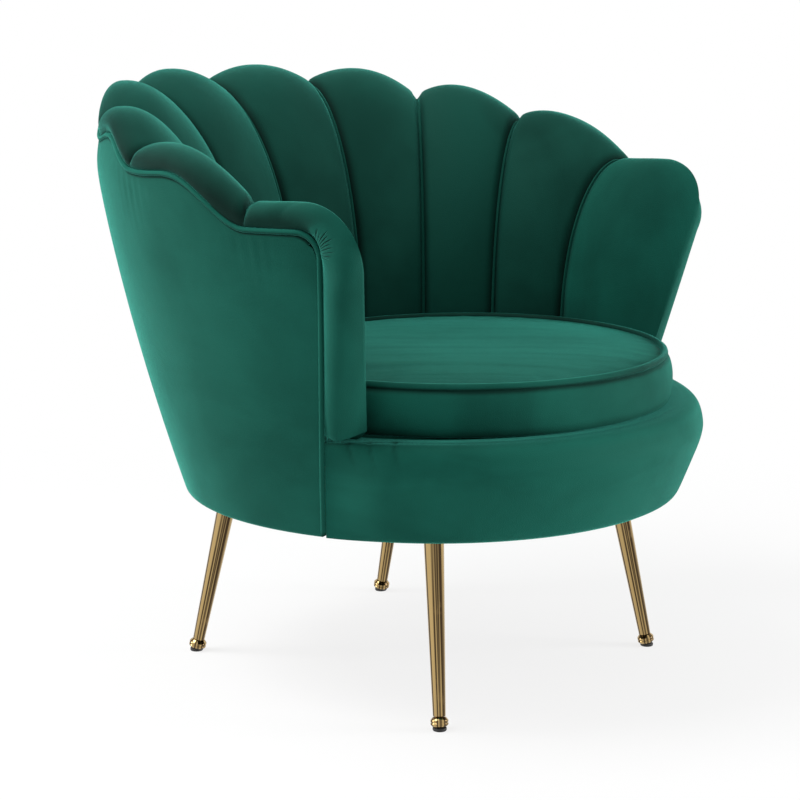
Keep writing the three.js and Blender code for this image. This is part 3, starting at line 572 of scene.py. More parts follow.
class Paint:
    """A material under construction: its nodes are made by one method."""

    def __init__(self, name):
        self.material = bpy.data.materials.new(name)
        self.material.use_nodes = True
        self.tree = self.material.node_tree
        self.shader = self.tree.nodes["Principled BSDF"]
        self.coordinates = self.node("ShaderNodeTexCoord").outputs["Object"]

    @classmethod
    def on_tree(cls, tree):
        """Works on an emptied tree that isn't a material's, such as the world's."""
        paint = cls.__new__(cls)
        paint.tree = tree
        tree.nodes.clear()
        return paint

    def node(self, kind, settings=None, inputs=None):
        """A node with its settings, then the values or links of its sockets."""
        node = self.tree.nodes.new(kind)
        for key, value in (settings or {}).items():
            setattr(node, key, value)
        self.feed(node, inputs or {})
        return node

    def feed(self, node, inputs):
        for key, value in inputs.items():
            socket = value.socket if isinstance(value, Value) else value
            if isinstance(socket, bpy.types.NodeSocket):
                self.tree.links.new(socket, node.inputs[key])
            else:
                node.inputs[key].default_value = socket

    def set(self, **inputs):
        """Values or links of the shader's sockets, their names with _ for each space."""
        self.feed(self.shader, {key.replace("_", " "): value for key, value in inputs.items()})

    def stretched(self, scale, turn=0.0):
        """Coordinates turned about the upright axis, then scaled."""
        inputs = {"Vector": self.coordinates, "Scale": [1 / share for share in scale], "Rotation": (0, 0, turn)}
        return self.node("ShaderNodeMapping", {"vector_type": "TEXTURE"}, inputs).outputs[0]

    def noise(self, scale, detail=3.0, roughness=0.5, where=None, distortion=0.0):
        inputs = {
            "Vector": self.coordinates if where is None else where,
            "Scale": scale,
            "Detail": detail,
            "Roughness": roughness,
            "Distortion": distortion,
        }
        return Value(self, self.node("ShaderNodeTexNoise", {}, inputs).outputs[0])

    def attribute(self, name):
        node = self.node("ShaderNodeAttribute", {"attribute_name": name})
        return Value(self, node.outputs["Fac"])

    def grain(self, scale):
        """Coordinates that go round a turned piece and along its axis."""
        node = self.node("ShaderNodeAttribute", {"attribute_name": "grain"})
        inputs = {0: node.outputs["Vector"], 1: scale}
        return self.node("ShaderNodeVectorMath", {"operation": "MULTIPLY"}, inputs).outputs[0]

    def band(self, value, low, high):
        """0 below low, 1 above high, smooth between."""
        settings = {"interpolation_type": "SMOOTHSTEP"}
        node = self.node("ShaderNodeMapRange", settings, {"Value": value, "From Min": low, "From Max": high})
        return Value(self, node.outputs[0])

    def seen(self):
        """1 for the camera's own rays, and for those that metal and glass pass on."""
        rays = self.node("ShaderNodeLightPath").outputs
        camera, glossy, clear = (Value(self, rays[f"Is {kind} Ray"]) for kind in ("Camera", "Glossy", "Transmission"))
        return self.band(camera + glossy + clear, 0.0, 1.0)

    def blend(self, share, first, second):
        settings = {"data_type": "RGBA", "clamp_factor": True}
        inputs = {0: share, 6: first, 7: second}
        return self.node("ShaderNodeMix", settings, inputs).outputs[2]

    def bump(self, height, distance, strength=1.0):
        inputs = {"Height": height, "Distance": distance, "Strength": strength}
        self.set(Normal=self.node("ShaderNodeBump", {}, inputs).outputs[0])


def solid(colour):
    return (*colour, 1.0)


MATERIALS = {}


def material(name):
    """Each finish is made once, by the function of its own name."""
    if name not in MATERIALS:
        MATERIALS[name] = FINISHES[name](name)
    return MATERIALS[name]


# The tucks' unevenness round the fan, their shortest share, and how softly the fan and each tuck end.
TUCK_SHUFFLE = 9.0
TUCK_WANDER = 4.0
TUCK_LEAST_SHARE = 0.45
TUCK_SOFT_END = 0.004
TUCK_BACK_FADE = (-0.003, 0.006)
TUCK_LOW_FADE = (-0.2, 0.1)
TUCK_CREST = 0.15


def tucks(paint, look):
    """Fine tucks that fan out from the piping at the arm's front top corner, where the cover is gathered. The velvet
    dents its relief along them and paints shade into them.
    """
    corner = arm_wall_point(np.array(1.0), np.array(ARM_WELT_HEIGHT), 0.0, 0.0, ARM_WELT_HEIGHT)
    axes = paint.node("ShaderNodeSeparateXYZ", {}, {0: paint.coordinates}).outputs
    x, y, z = (Value(paint, axis) for axis in axes)
    across = (x * x).root() - float(corner[0])
    along, up = y - float(corner[1]) + look.tuck_forward, z - float(corner[2]) + look.tuck_drop
    level = (across * across + along * along).root()
    away = (level * level + up * up).root()
    turn = up.angle(level)
    round_fan = paint.node("ShaderNodeCombineXYZ", {}, {0: turn * TUCK_SHUFFLE}).outputs[0]
    uneven = paint.noise(1.0, detail=1.0, where=round_fan)
    wave = (turn * look.tuck_count + uneven * TUCK_WANDER).sine()
    end = uneven * look.tuck_length + look.tuck_length * TUCK_LEAST_SHARE
    reach = 1 - paint.band(away - end, -TUCK_SOFT_END, TUCK_SOFT_END)
    start, full = (look.tuck_low + fade for fade in TUCK_LOW_FADE)
    side = (1 - paint.band(along, *TUCK_BACK_FADE)) * paint.band(turn, start, full)
    return paint.band(wave, TUCK_CREST, 1.0) * reach * side


# The pile's brushed patches, speckle, roughness and shine.
STREAK_SHARE = 0.55
BRUSHED_BAND = (0.38, 0.66)
SPECKLE_SHADE = 0.35
BRUSHED_RELIEF = 0.35
PILE_ROUGHNESS = 0.74
BRUSHED_ROUGHNESS = 0.12
PILE_SHINE = 0.1


def velvet(name, brush_scale, brush_turn=0.0, depth=1.0, painted_lightness=1.0, tucked=False, sheen=1.0):
    """Cut pile: brushed patches, a fine speckle, painted shade in seams, tucks and undersides, and sheen at grazing
    angles.
    """
    look = bpy.context.scene.chair_velvet
    paint = Paint(name)
    # The lightness scales both colours, which makes lit and shaded copies of one velvet: painted light.
    base, deep = (solid(tuple(c * painted_lightness for c in colour)) for colour in (look.colour, look.deep_colour))
    where = paint.stretched(brush_scale, brush_turn)
    streaks = paint.noise(1.0, detail=4.0, roughness=0.55, where=where, distortion=0.6)
    patches = paint.noise(7.0, distortion=0.4)
    pile = paint.noise(900.0, detail=2.0, roughness=0.6)
    brushed = paint.band(streaks * STREAK_SHARE + patches * (1 - STREAK_SHARE), *BRUSHED_BAND)
    speckle = (pile - 0.5) * SPECKLE_SHADE
    # The seam attribute is painted shade towards the deep colour; the brushed patches and speckle are the pile's own
    # tone.
    shade = brushed * (look.brush_strength * depth) + speckle + paint.attribute("seam")
    relief = pile + brushed * BRUSHED_RELIEF
    if tucked:
        fan = tucks(paint, look)
        # Painted shade in each tuck, besides its dented relief.
        shade = shade + fan
        relief = relief - fan * (look.tuck_depth / look.pile_length)
    paint.set(
        Base_Color=paint.blend(shade, base, deep),
        Roughness=brushed * BRUSHED_ROUGHNESS + PILE_ROUGHNESS,
        Sheen_Weight=look.sheen * sheen,
        Sheen_Roughness=look.sheen_roughness,
        Sheen_Tint=solid(look.sheen_colour),
        Specular_IOR_Level=PILE_SHINE,
    )
    paint.bump(relief, look.pile_length)
    return paint.material


def polished_brass(name):
    """Thin plated gold with painted dark reflections as streaks along each turned piece, a faint drawn relief and a
    few rubbed spots.
    """
    look = bpy.context.scene.chair_metal
    paint = Paint(name)
    drawn = paint.noise(1.0, detail=2.0, where=paint.grain((2.6, 2.6, 1.3)))
    # Painted reflection: the dark streaks stand in for dark surroundings mirrored along the leg; the drawn noise also
    # gives real roughness and relief.
    streaks = paint.band(drawn, look.reflection_streak_low, look.reflection_streak_high)
    worn = paint.noise(38.0, detail=4.0, roughness=0.6)
    spots = paint.band(worn, 0.58, 0.74)
    paint.set(
        Base_Color=paint.blend(spots * 0.3, paint.blend(streaks, solid(look.painted_reflection_gold), solid(look.gold)),
                               solid(look.rubbed_gold)),
        Metallic=1.0,
        Roughness=drawn * 0.03 + spots * 0.08 + look.roughness,
    )
    paint.bump(drawn, 0.00002, 0.3)
    return paint.material


def black_rubber(name):
    paint = Paint(name)
    grain = paint.noise(520.0, roughness=0.6)
    dust = paint.band(paint.noise(60.0), 0.55, 0.8)
    paint.set(
        Base_Color=paint.blend(dust * 0.5, (0.012, 0.012, 0.012, 1), (0.05, 0.05, 0.048, 1)),
        Roughness=grain * 0.2 + 0.55,
    )
    paint.bump(grain, 0.0002)
    return paint.material


def zinc_plate(name):
    paint = Paint(name)
    spangle = paint.node("ShaderNodeTexVoronoi", {}, {"Vector": paint.coordinates, "Scale": 260.0}).outputs[1]
    cloud = paint.noise(45.0, detail=4.0, roughness=0.6)
    grey = paint.blend(cloud, (0.33, 0.34, 0.36, 1), (0.6, 0.61, 0.63, 1))
    paint.set(Base_Color=paint.blend(0.12, grey, spangle), Metallic=1.0, Roughness=cloud * 0.2 + 0.28)
    paint.bump(cloud, 0.0001)
    return paint.material


def plywood(name):
    """Face veneer with long grain, and fine plies on the edges."""
    paint = Paint(name)
    along_sheet = paint.stretched((9.0, 150.0, 150.0))
    grain = paint.noise(1.0, detail=6.0, roughness=0.62, where=along_sheet, distortion=0.8)
    pores = paint.band(paint.noise(1.0, detail=2.0, where=paint.stretched((60.0, 900.0, 900.0))), 0.62, 0.75)
    plies = paint.node(
        "ShaderNodeTexWave",
        {"wave_type": "BANDS", "bands_direction": "Z"},
        {"Vector": paint.coordinates, "Scale": 105.0, "Distortion": 0.4},
    ).outputs["Fac"]
    veneer = paint.blend(grain, (0.66, 0.47, 0.27, 1), (0.43, 0.27, 0.13, 1))
    layered = paint.blend(Value(paint, plies) * 0.25, veneer, (0.3, 0.18, 0.09, 1))
    paint.set(Base_Color=paint.blend(pores * 0.5, layered, (0.2, 0.11, 0.05, 1)), Roughness=grain * 0.15 + 0.6)
    paint.bump(grain - pores, 0.0003)
    return paint.material


def open_foam(name):
    paint = Paint(name)
    cells = paint.node("ShaderNodeTexVoronoi", {}, {"Vector": paint.coordinates, "Scale": 380.0}).outputs[0]
    tint = paint.noise(12.0)
    paint.set(Base_Color=paint.blend(tint, (0.82, 0.74, 0.5, 1), (0.7, 0.6, 0.36, 1)), Roughness=0.95)
    paint.bump(Value(paint, cells), 0.0012)
    return paint.material


def lining_cloth(name):
    """Black non-woven cloth with its rows of pressed dots."""
    paint = Paint(name)
    dots = paint.node("ShaderNodeTexVoronoi", {}, {"Vector": paint.coordinates, "Scale": 300.0, "Randomness": 0.1})
    pressed = paint.band(Value(paint, dots.outputs[0]), 0.2, 0.45)
    fibres = paint.noise(700.0, roughness=0.7)
    paint.set(
        Base_Color=paint.blend(fibres, (0.008, 0.008, 0.009, 1), (0.03, 0.03, 0.032, 1)),
        Roughness=0.9,
    )
    paint.bump(pressed + fibres * 0.5, 0.0004)
    return paint.material


def zip_tape(name):
    paint = Paint(name)
    weave = paint.node(
        "ShaderNodeTexWave",
        {"wave_type": "BANDS", "bands_direction": "DIAGONAL"},
        {"Vector": paint.coordinates, "Scale": 420.0, "Distortion": 0.2},
    ).outputs["Fac"]
    paint.set(
        Base_Color=paint.blend(Value(paint, weave), (0.006, 0.03, 0.022, 1), (0.014, 0.06, 0.045, 1)),
        Roughness=0.7,
    )
    paint.bump(Value(paint, weave), 0.0003)
    return paint.material


def zip_nylon(name):
    paint = Paint(name)
    mottle = paint.noise(240.0)
    paint.set(
        Base_Color=paint.blend(mottle, (0.01, 0.045, 0.034, 1), (0.02, 0.07, 0.055, 1)),
        Roughness=mottle * 0.15 + 0.3,
    )
    return paint.material


# The lightness given to each velvet paints light per part: the inside of the back, the cushion's top and bottom, the
# deck, the cords and the flange are darker, the cushion's piping a little darker, and the boxing, the apron and the
# shell's piping lighter.
FINISHES = {
    "back_velvet": lambda name: velvet(name, (5.0, 5.0, 1.6), painted_lightness=0.6),
    "arm_velvet": lambda name: velvet(name, (6.0, 6.0, 2.2), tucked=True),
    "shell_velvet": lambda name: velvet(name, (3.0, 3.0, 5.0), depth=0.85),
    "seat_velvet": lambda name: velvet(name, (2.5, 30.0, 30.0), math.radians(-50), 1.2, 0.8, sheen=0.72),
    "boxing_velvet": lambda name: velvet(name, (4.0, 4.0, 4.0), depth=1.1, painted_lightness=1.15),
    "deck_velvet": lambda name: velvet(name, (4.0, 4.0, 4.0), painted_lightness=0.85),
    "apron_velvet": lambda name: velvet(name, (4.0, 4.0, 12.0), depth=0.85, painted_lightness=1.1),
    "welt_velvet": lambda name: velvet(name, (10.0, 10.0, 10.0), depth=0.5, painted_lightness=0.7),
    "edge_welt_velvet": lambda name: velvet(name, (10.0, 10.0, 10.0), depth=0.4, painted_lightness=1.15),
    "seat_welt_velvet": lambda name: velvet(name, (10.0, 10.0, 10.0), depth=0.5, painted_lightness=0.95),
    "polished_brass": polished_brass,
    "black_rubber": black_rubber,
    "zinc_plate": zinc_plate,
    "plywood": plywood,
    "open_foam": open_foam,
    "lining_cloth": lining_cloth,
    "zip_tape": zip_tape,
    "zip_nylon": zip_nylon,
}


# Padding: the covers are blown up as cloth between their seams.

CLOTH_FRAMES = 20


CLOTH_STIFFNESS = 30.0


def inflated(grid_list, held_list, pressure, most):
    """Blows up grids of points as one cloth, welded along shared edges, with the held points kept in place.

    Gives the grids back with each point moved by no more than the given length.
    """
    points = np.concatenate([grid.reshape(-1, 3) for grid in grid_list])
    held = np.concatenate([np.broadcast_to(h, g.shape[:2]).ravel() for g, h in zip(grid_list, held_list)])
    faces, first = [], 0
    for grid in grid_list:
        faces.append(grid_faces(*grid.shape[:2], first))
        first += grid.shape[0] * grid.shape[1]
    faces = np.concatenate(faces)
    _, keep, owner = np.unique(np.round(points, 5), axis=0, return_index=True, return_inverse=True)
    owner = owner.ravel()
    corners = [list(dict.fromkeys(face)) for face in owner[faces].tolist()]
    cover = new_piece("padding", points[keep].tolist(), [face for face in corners if len(face) > 2])
    group = cover.vertex_groups.new(name="held")
    weights = np.zeros(len(keep))
    np.maximum.at(weights, owner, held.astype(float))
    for index, weight in enumerate(weights.tolist()):
        group.add([index], weight, "REPLACE")
    settings = cover.modifiers.new("Padding", "CLOTH").settings
    settings.vertex_group_mass = "held"
    settings.quality = 5
    settings.mass = 0.3
    settings.tension_stiffness = CLOTH_STIFFNESS
    settings.compression_stiffness = CLOTH_STIFFNESS
    settings.shear_stiffness = CLOTH_STIFFNESS / 2
    settings.bending_stiffness = 2.0
    settings.use_pressure = True
    settings.uniform_pressure_force = pressure
    settings.effector_weights.gravity = 0
    scene = bpy.context.scene
    for step in range(1, CLOTH_FRAMES + 1):
        scene.frame_set(step)
    shaped = cover.evaluated_get(bpy.context.evaluated_depsgraph_get())
    blown = np.array([v.co for v in shaped.data.vertices])
    scene.frame_set(1)
    bpy.data.objects.remove(cover)
    move = blown[owner] - points
    length = np.linalg.norm(move, axis=-1, keepdims=True)
    points = points + move * np.minimum(1, most / np.maximum(length, 1e-9))
    out, first = [], 0
    for grid in grid_list:
        size = grid.shape[0] * grid.shape[1]
        out.append(points[first:first + size].reshape(grid.shape))
        first += size
    return out


# Channels of the back and arms.


def edge_rows(point):
    """The last rows of a channel, where its edge turns in behind the piping."""
    groove = bpy.context.scene.chair_piping.groove_depth
    shares = zip(EDGE_RISE_SHARES, EDGE_INSET_SHARES)
    return [point(WELT_RADIUS * rise, groove * inset) for rise, inset in shares]


def underside_rows(point):
    """From the turned-in edge over the frame's top edge, then down the frame's face."""
    edge = WELT_RADIUS + WELT_GAP
    groove = bpy.context.scene.chair_piping.groove_depth
    return [point(edge, groove), point(edge, PETAL_BACK)]


def front_of_channel(channel):
    """All rows of a back channel that show: face, rim and turned-in edge."""
    shares = np.linspace(0, 1, CHANNEL_COLUMNS + 1)
    face = channel_face(channel, shares)
    angle = between(SEAM_CREST_ANGLES, channel, shares)
    welt = welt_height(channel, shares)
    rim = round_rim(face[:, -1], shell_point(angle, welt + WELT_RADIUS), np.array([0, 0, -1.0]), RIM_BULGE)
    tucked = edge_rows(lambda rise, inset: shell_point(angle, welt + rise, inset))
    return np.concatenate([face, np.stack(rim + tucked, axis=1)], axis=1)


def back_of_channel(channel):
    shares = np.linspace(0, 1, CHANNEL_COLUMNS + 1)
    angle = between(SEAM_CREST_ANGLES, channel, shares)
    welt = welt_height(channel, shares)
    top = welt + WELT_RADIUS + WELT_GAP
    rows = underside_rows(lambda rise, inset: shell_point(angle, welt + rise, inset))
    for share in np.linspace(1, 0, BACK_ROWS)[1:]:
        rows.append(shell_point(angle, lerp(PETAL_FOOT, top, share), PETAL_BACK))
    return np.stack(rows, axis=1)


FRONT_ROWS = FOOT_ROWS + BEND_ROWS + 1 + RIM_ROWS


def arm_parts():
    """The arm channel's face, its rim and its back, as grids."""
    rows = [(0, foot) for foot in FOOT_HEIGHTS] + [(turn, None) for turn in BEND_TURNS]
    face = np.stack([arm_face_row(ARM_SHARES, turn, foot) for turn, foot in rows], axis=1)
    height = np.array([foot if foot is not None else lerp(BEND_START, ARM_HEIGHT, math.sin(turn))
                       for turn, foot in rows])
    top = len(rows) - 1
    welt_edge = ARM_WELT_HEIGHT + WELT_RADIUS + WELT_GAP
    wall_height = lerp(PETAL_FOOT, welt_edge, (height - PETAL_FOOT) / (ARM_HEIGHT - PETAL_FOOT))
    columns = [(i, top) for i in range(ARM_COLUMNS + 1)] + [(ARM_COLUMNS, top - 1 - i) for i in range(top)]
    index, row = (np.array(values) for values in zip(*columns))
    share = ARM_SHARES[index]
    crest = face[index, row]

    def wall(edge, inset):
        above_foot = smooth_step(0, ARM_FOOT_BLEND, wall_height[row] - PETAL_FOOT)
        raised = wall_height[row] + (edge - WELT_RADIUS - WELT_GAP) * above_foot
        return arm_wall_point(share, raised, inset, -edge, ARM_WELT_HEIGHT + edge)

    forward = np.clip(1 - (1 - share) * ARM_LENGTH / ARM_CORNER_RADIUS, 0, 1)
    upward = np.clip(1 - (ARM_HEIGHT - height[row]) / ARM_CORNER_RADIUS, 0, 1)
    inwards = unit(places(0, forward, -upward))
    rise = (crest[:, 2] - DECK_HEIGHT) / (ARM_HEIGHT - DECK_HEIGHT)
    bulge = lerp(RIM_BULGE, lerp(ARM_RIM_FOOT_BULGE, ARM_RIM_BULGE, rise), forward)
    rim = [crest] + round_rim(crest, wall(WELT_RADIUS, 0), inwards, bulge) + edge_rows(wall) + underside_rows(wall)
    back = np.stack([
        arm_wall_point(ARM_SHARES, np.full_like(ARM_SHARES, z), PETAL_BACK, -WELT_RADIUS - WELT_GAP, welt_edge)
        for z in wall_height], axis=1)
    return face, np.stack(rim, axis=1), back


def groove_depth(distance, look):
    """How deep the cover is drawn in, near a seam."""
    return look.seam_depth * np.clip(1 - distance / look.seam_width, 0, 1) ** SEAM_FALL_POWER


def groove_fade(rows):
    """The seams run out where the rim tucks in behind the piping."""
    return 1 - smooth_step(FRONT_ROWS - RIM_ROWS / 2, FRONT_ROWS, np.arange(rows))


def fullness(shares, rows):
    """Extra roundness across a channel, none at its foot and at its edge behind the welt."""
    along = np.linspace(0, 1, rows)
    swell = smooth_step(0, FULL_FROM, along) * (1 - smooth_step(FULL_UNTIL, 1, along))
    return (1 - np.abs(2 * shares - 1) ** FULLNESS_POWER)[:, None] * swell[None, :]


def seam_normals(fronts):
    """Normals of neighbouring grids, with one shared normal along each shared seam."""
    normals = [grid_normals(front) for front in fronts]
    for one, other in zip(normals, normals[1:]):
        rows = min(one.shape[1], other.shape[1])
        shared = unit(one[-1, :rows] + other[0, :rows])
        one[-1, :rows] = shared
        other[0, :rows] = shared
    middle = normals[0][0] * np.array([0, 1, 1])
    normals[0][0] = unit(middle)
    return normals


def channel_widths(front):
    return np.linalg.norm(np.diff(front, axis=0), axis=-1).sum(axis=0)


def petals():
    """Fronts of the four back channels and the arm's face and rim, on the sitter's left, drawn in at their seams, with
    their painted shade.
    """
    look = bpy.context.scene.chair_channels
    shares = np.linspace(0, 1, CHANNEL_COLUMNS + 1)
    fronts = [front_of_channel(channel) for channel in range(LAST_CHANNEL + 1)]
    held = np.zeros(fronts[0].shape[:2], bool)
    held[[0, -1]] = held[:, :2] = held[:, -5:] = True
    fronts = [inflated([front], [held], look.pressure, look.swell)[0] for front in fronts]
    face, rim, back = arm_parts()
    last = ARM_COLUMNS + 1
    arm_top = np.concatenate([face, rim[:last, 1:-2]], axis=1)
    normals = seam_normals(fronts + [arm_top])
    seams = [front[0] for front in fronts] + [arm_top[0]]
    painted_shades = []
    for index, front in enumerate(fronts):
        width = channel_widths(front)
        distance = np.minimum(shares, 1 - shares)[:, None] * width[None, :]
        depth = groove_depth(distance, look)
        push = look.fullness * fullness(shares, front.shape[1]) - depth * groove_fade(front.shape[1])
        fronts[index] = front + normals[index] * push[..., None]
        # Painted shade: deepest in each seam, and on the roll's side above the welt.
        painted_shades.append(np.maximum(depth / look.seam_depth, roll_shade(front.shape[1])[None, :]))
    distance = ARM_SHARES[:, None] * ARM_LENGTH + np.zeros(arm_top.shape[1])
    depth = groove_depth(distance, look)
    arm_top = arm_top - normals[-1] * (depth * groove_fade(arm_top.shape[1]))[..., None]
    face = arm_top[:, :face.shape[1]]
    rim[:last, 1:-2] = arm_top[:, face.shape[1]:]
    rim[:last, 0] = face[:, -1]
    # Painted shade on the arm's rim: in its seam, on the roll's side above the welt up to the front corner, and in its
    # tucked rows.
    shade = np.zeros(rim.shape[:2])
    shade[:last, :-2] = depth[:, face.shape[1] - 1:] / look.seam_depth
    fade_start, fade_end = (ARM_COLUMNS * share for share in ROLL_SHADE_FADE)
    before_corner = 1 - smooth_step(fade_start, fade_end, np.arange(len(rim)))[:, None]
    tucked = (np.arange(rim.shape[1]) > RIM_ROWS)[None, :]
    rolled = roll_shade(rim.shape[1], RIM_ROWS + 1)[None, :]
    shade = np.maximum(shade, rolled * np.maximum(before_corner, tucked))
    face, rim = front_tab(face, rim)
    arm = {"face": face, "rim": rim, "back": back,
           "face_painted_shade": depth[:, :face.shape[1]] / look.seam_depth, "rim_painted_shade": shade}
    return fronts, painted_shades, arm, seams, [normal[0] for normal in normals]


def roll_shade(rows, end=FRONT_ROWS):
    """Painted shade on the roll's side above the welt, darkest next to it."""
    look = bpy.context.scene.chair_channels
    along = np.arange(rows)
    return np.where(along > end, 1.0, look.roll_shade * smooth_step(end - RIM_ROWS, end, along))


def front_tab(face, rim):
    """Rounds the low end of the arm's front roll, and lifts its inner side a little off the apron."""
    look = bpy.context.scene.chair_channels

    def low(grid):
        return 1 - smooth_step(0, look.tab_reach, grid[..., 2] - PETAL_FOOT)

    def front(grid):
        return smooth_step(1 - TAB_WIDTH_SHARE, 1, np.arange(len(grid)) / ARM_COLUMNS)[:, None]

    face, rim = face.copy(), rim.copy()
    face[..., 2] += look.tab_lift * low(face) * front(face)
    share = np.arange(rim.shape[1]) / RIM_ROWS
    corner = smooth_step(TAB_CORNER_START, 1, share) * (1 - smooth_step(1, 1 + TAB_CORNER_ROWS / RIM_ROWS, share))
    lift = look.tab_lift * np.clip(1 - share, 0, 1) ** TAB_LIFT_POWER + look.tab_round * corner
    rim[..., 2] += lift * low(rim) * front(rim)
    return face, rim


def fill_ends(piece):
    """Closes the open ends of a piece."""
    edited(piece, lambda: bpy.ops.mesh.fill_holes(sides=0))


class CHAIR_OT_channels(bpy.types.Operator):
    """Padded velvet channels of the back and arms, with the sunk cord between them"""

    bl_idname = "chair.channels"
    bl_label = "Channels"

    def execute(self, context):
        look = context.scene.chair_channels
        fronts, painted_shades, arm, seams, normals = petals()
        for side_name, side in SIDES.items():
            for channel, (front, depth) in enumerate(zip(fronts, painted_shades)):
                cloth = Cloth()
                cloth.grid(mirrored(front, side), depth)
                back = back_of_channel(channel)
                ring = np.concatenate([front[:, -1:], back, front[:, :1]], axis=1)
                cloth.grid(mirrored(ring, side))
                piece = cloth.piece("channel")
                fill_ends(piece)
                smooth(piece, 60)
                name = f"channel_velvet_{side_name}_{channel + 1}"
                node = f"back_channel_{side_name}_{channel + 1}"
                finished(piece, name, material("back_velvet"), replaced=[node])
            self.arm(arm, side_name, side)
            for number, (line, normal) in enumerate(zip(seams, normals)):
                if number or side > 0:
                    self.cord(look, line, normal, f"{side_name}_{number}", side)
        return {"FINISHED"}

    def arm(self, arm, side_name, side):
        cloth = Cloth()
        cloth.grid(mirrored(arm["face"], side), arm["face_painted_shade"])
        cloth.grid(mirrored(arm["rim"], side), arm["rim_painted_shade"])
        cloth.grid(mirrored(arm["back"], side))
        piece = cloth.piece("arm")
        fill_ends(piece)
        smooth(piece, 60)
        name = f"arm_velvet_{side_name}"
        finished(piece, name, material("arm_velvet"), replaced=[f"arm_channel_{side_name}"])

    def cord(self, look, line, normal, label, side):
        """The cord shows on the face, and dives under the cover where the seam goes over the crest."""
        crest = FRONT_ROWS - RIM_ROWS
        start, deepest = (crest + rows for rows in CORD_DIVE_ROWS)
        dive = look.cord_radius * CORD_DIVE_RADII * smooth_step(start, deepest, np.arange(len(line)))
        sunk = line - normal * (look.seam_depth - look.cord_radius * CORD_SHOWN_SHARE + dive)[:, None]
        name = f"seam_cord_{label}"
        piece = piping(name, mirrored(sunk[1:crest + CORD_END_ROWS], side), look.cord_radius, 8)
        finished(piece, name, material("welt_velvet"))


# Outside of the shell.


def wall_line(rise, inset, low_share=None):
    """A line along the whole wall near its welt, from the back centre to the arm's front."""
    parts = []
    for channel in range(LAST_CHANNEL + 1):
        shares = np.linspace(0, 1, CHANNEL_COLUMNS + 1)[:-1]
        angle = between(SEAM_CREST_ANGLES, channel, shares)
        top = welt_height(channel, shares) + rise
        height = top if low_share is None else lerp(BODY_BOTTOM, top, low_share)
        parts.append(shell_point(angle, height, inset))
    top = ARM_WELT_HEIGHT + rise
    height = top if low_share is None else lerp(BODY_BOTTOM, top, low_share)
    parts.append(arm_wall_point(ARM_SHARES, np.full_like(ARM_SHARES, height), inset, -rise, top))
    return np.concatenate(parts)


def hem_inset(height, radius):
    """How far the cover is drawn in where it turns under the shell."""
    share = np.clip((BODY_BOTTOM + radius - height) / radius, 0, 1)
    return radius * (1 - np.sqrt(1 - share * share))


def cover_half():
    """The outside cover of the sitter's left half, from its hem under the frame to the piping."""
    look = bpy.context.scene.chair_piping
    edge = WELT_RADIUS
    columns = (LAST_CHANNEL + 1) * CHANNEL_COLUMNS + ARM_COLUMNS + 1
    hem = look.hem_radius
    wall = ARM_WELT_HEIGHT - BODY_BOTTOM
    under = -SEAM_GAP * 2 / wall
    rows = [wall_line(-edge, look.hem_width, under)]
    for turn in np.linspace(np.pi / 2, 0, HEM_ROWS + 1)[:-1]:
        rows.append(wall_line(-edge, hem * (1 - math.cos(turn)), under + hem * (1 - math.sin(turn)) / wall))
    for share in np.linspace(under + hem / wall, 1, COVER_ROWS)[:-1]:
        rows.append(wall_line(-edge, 0.0, share))
    rows.append(wall_line(-edge - look.groove_width, 0.0))
    rows.append(wall_line(-edge, 0.0))
    rows.append(wall_line(-WELT_RADIUS * 0.6, look.groove_depth * 0.7))
    rows.append(wall_line(-WELT_RADIUS * 0.2, look.groove_depth))
    grid = np.stack(rows, axis=1)
    # Painted shade on the last three rows, where the cover turns in beside the piping.
    depth = np.zeros((columns, grid.shape[1]))
    depth[:, -3:] = 0.9
    return grid, depth


# The folds under the notches, in shares of their reach, and how fast they fade downwards.
PULL_FOLD_WIDTH = 0.22
PULL_FOLD_DEPTH = 0.35
PULL_FADE = 2.2


def notch_pulls(grid):
    """Soft dimples under each notch of the scallop, where the cover is drawn tight."""
    look = bpy.context.scene.chair_piping
    columns, rows = grid.shape[:2]
    below = grid[:, -3:-2, 2] - grid[..., 2]
    pull = np.zeros((columns, rows))
    for seam in range(1, LAST_CHANNEL + 2):
        notch = grid[seam * CHANNEL_COLUMNS, -3]
        sideways = np.linalg.norm(grid[:, -3, :2] - notch[:2], axis=-1)[:, None]
        depth = np.maximum(below, 0)
        reach = look.pull_reach
        fold = np.cos(sideways / (reach * PULL_FOLD_WIDTH) * np.pi) * PULL_FOLD_DEPTH + 1 - PULL_FOLD_DEPTH
        pull += np.exp(-(sideways / reach) ** 2) * (depth / reach) * np.exp(1 - PULL_FADE * depth / reach) * fold
    normals = grid_normals(grid)
    outward = np.sign(np.sum(normals[..., :2] * grid[..., :2], axis=-1))
    return grid - normals * (outward * look.pull_depth * pull)[..., None]


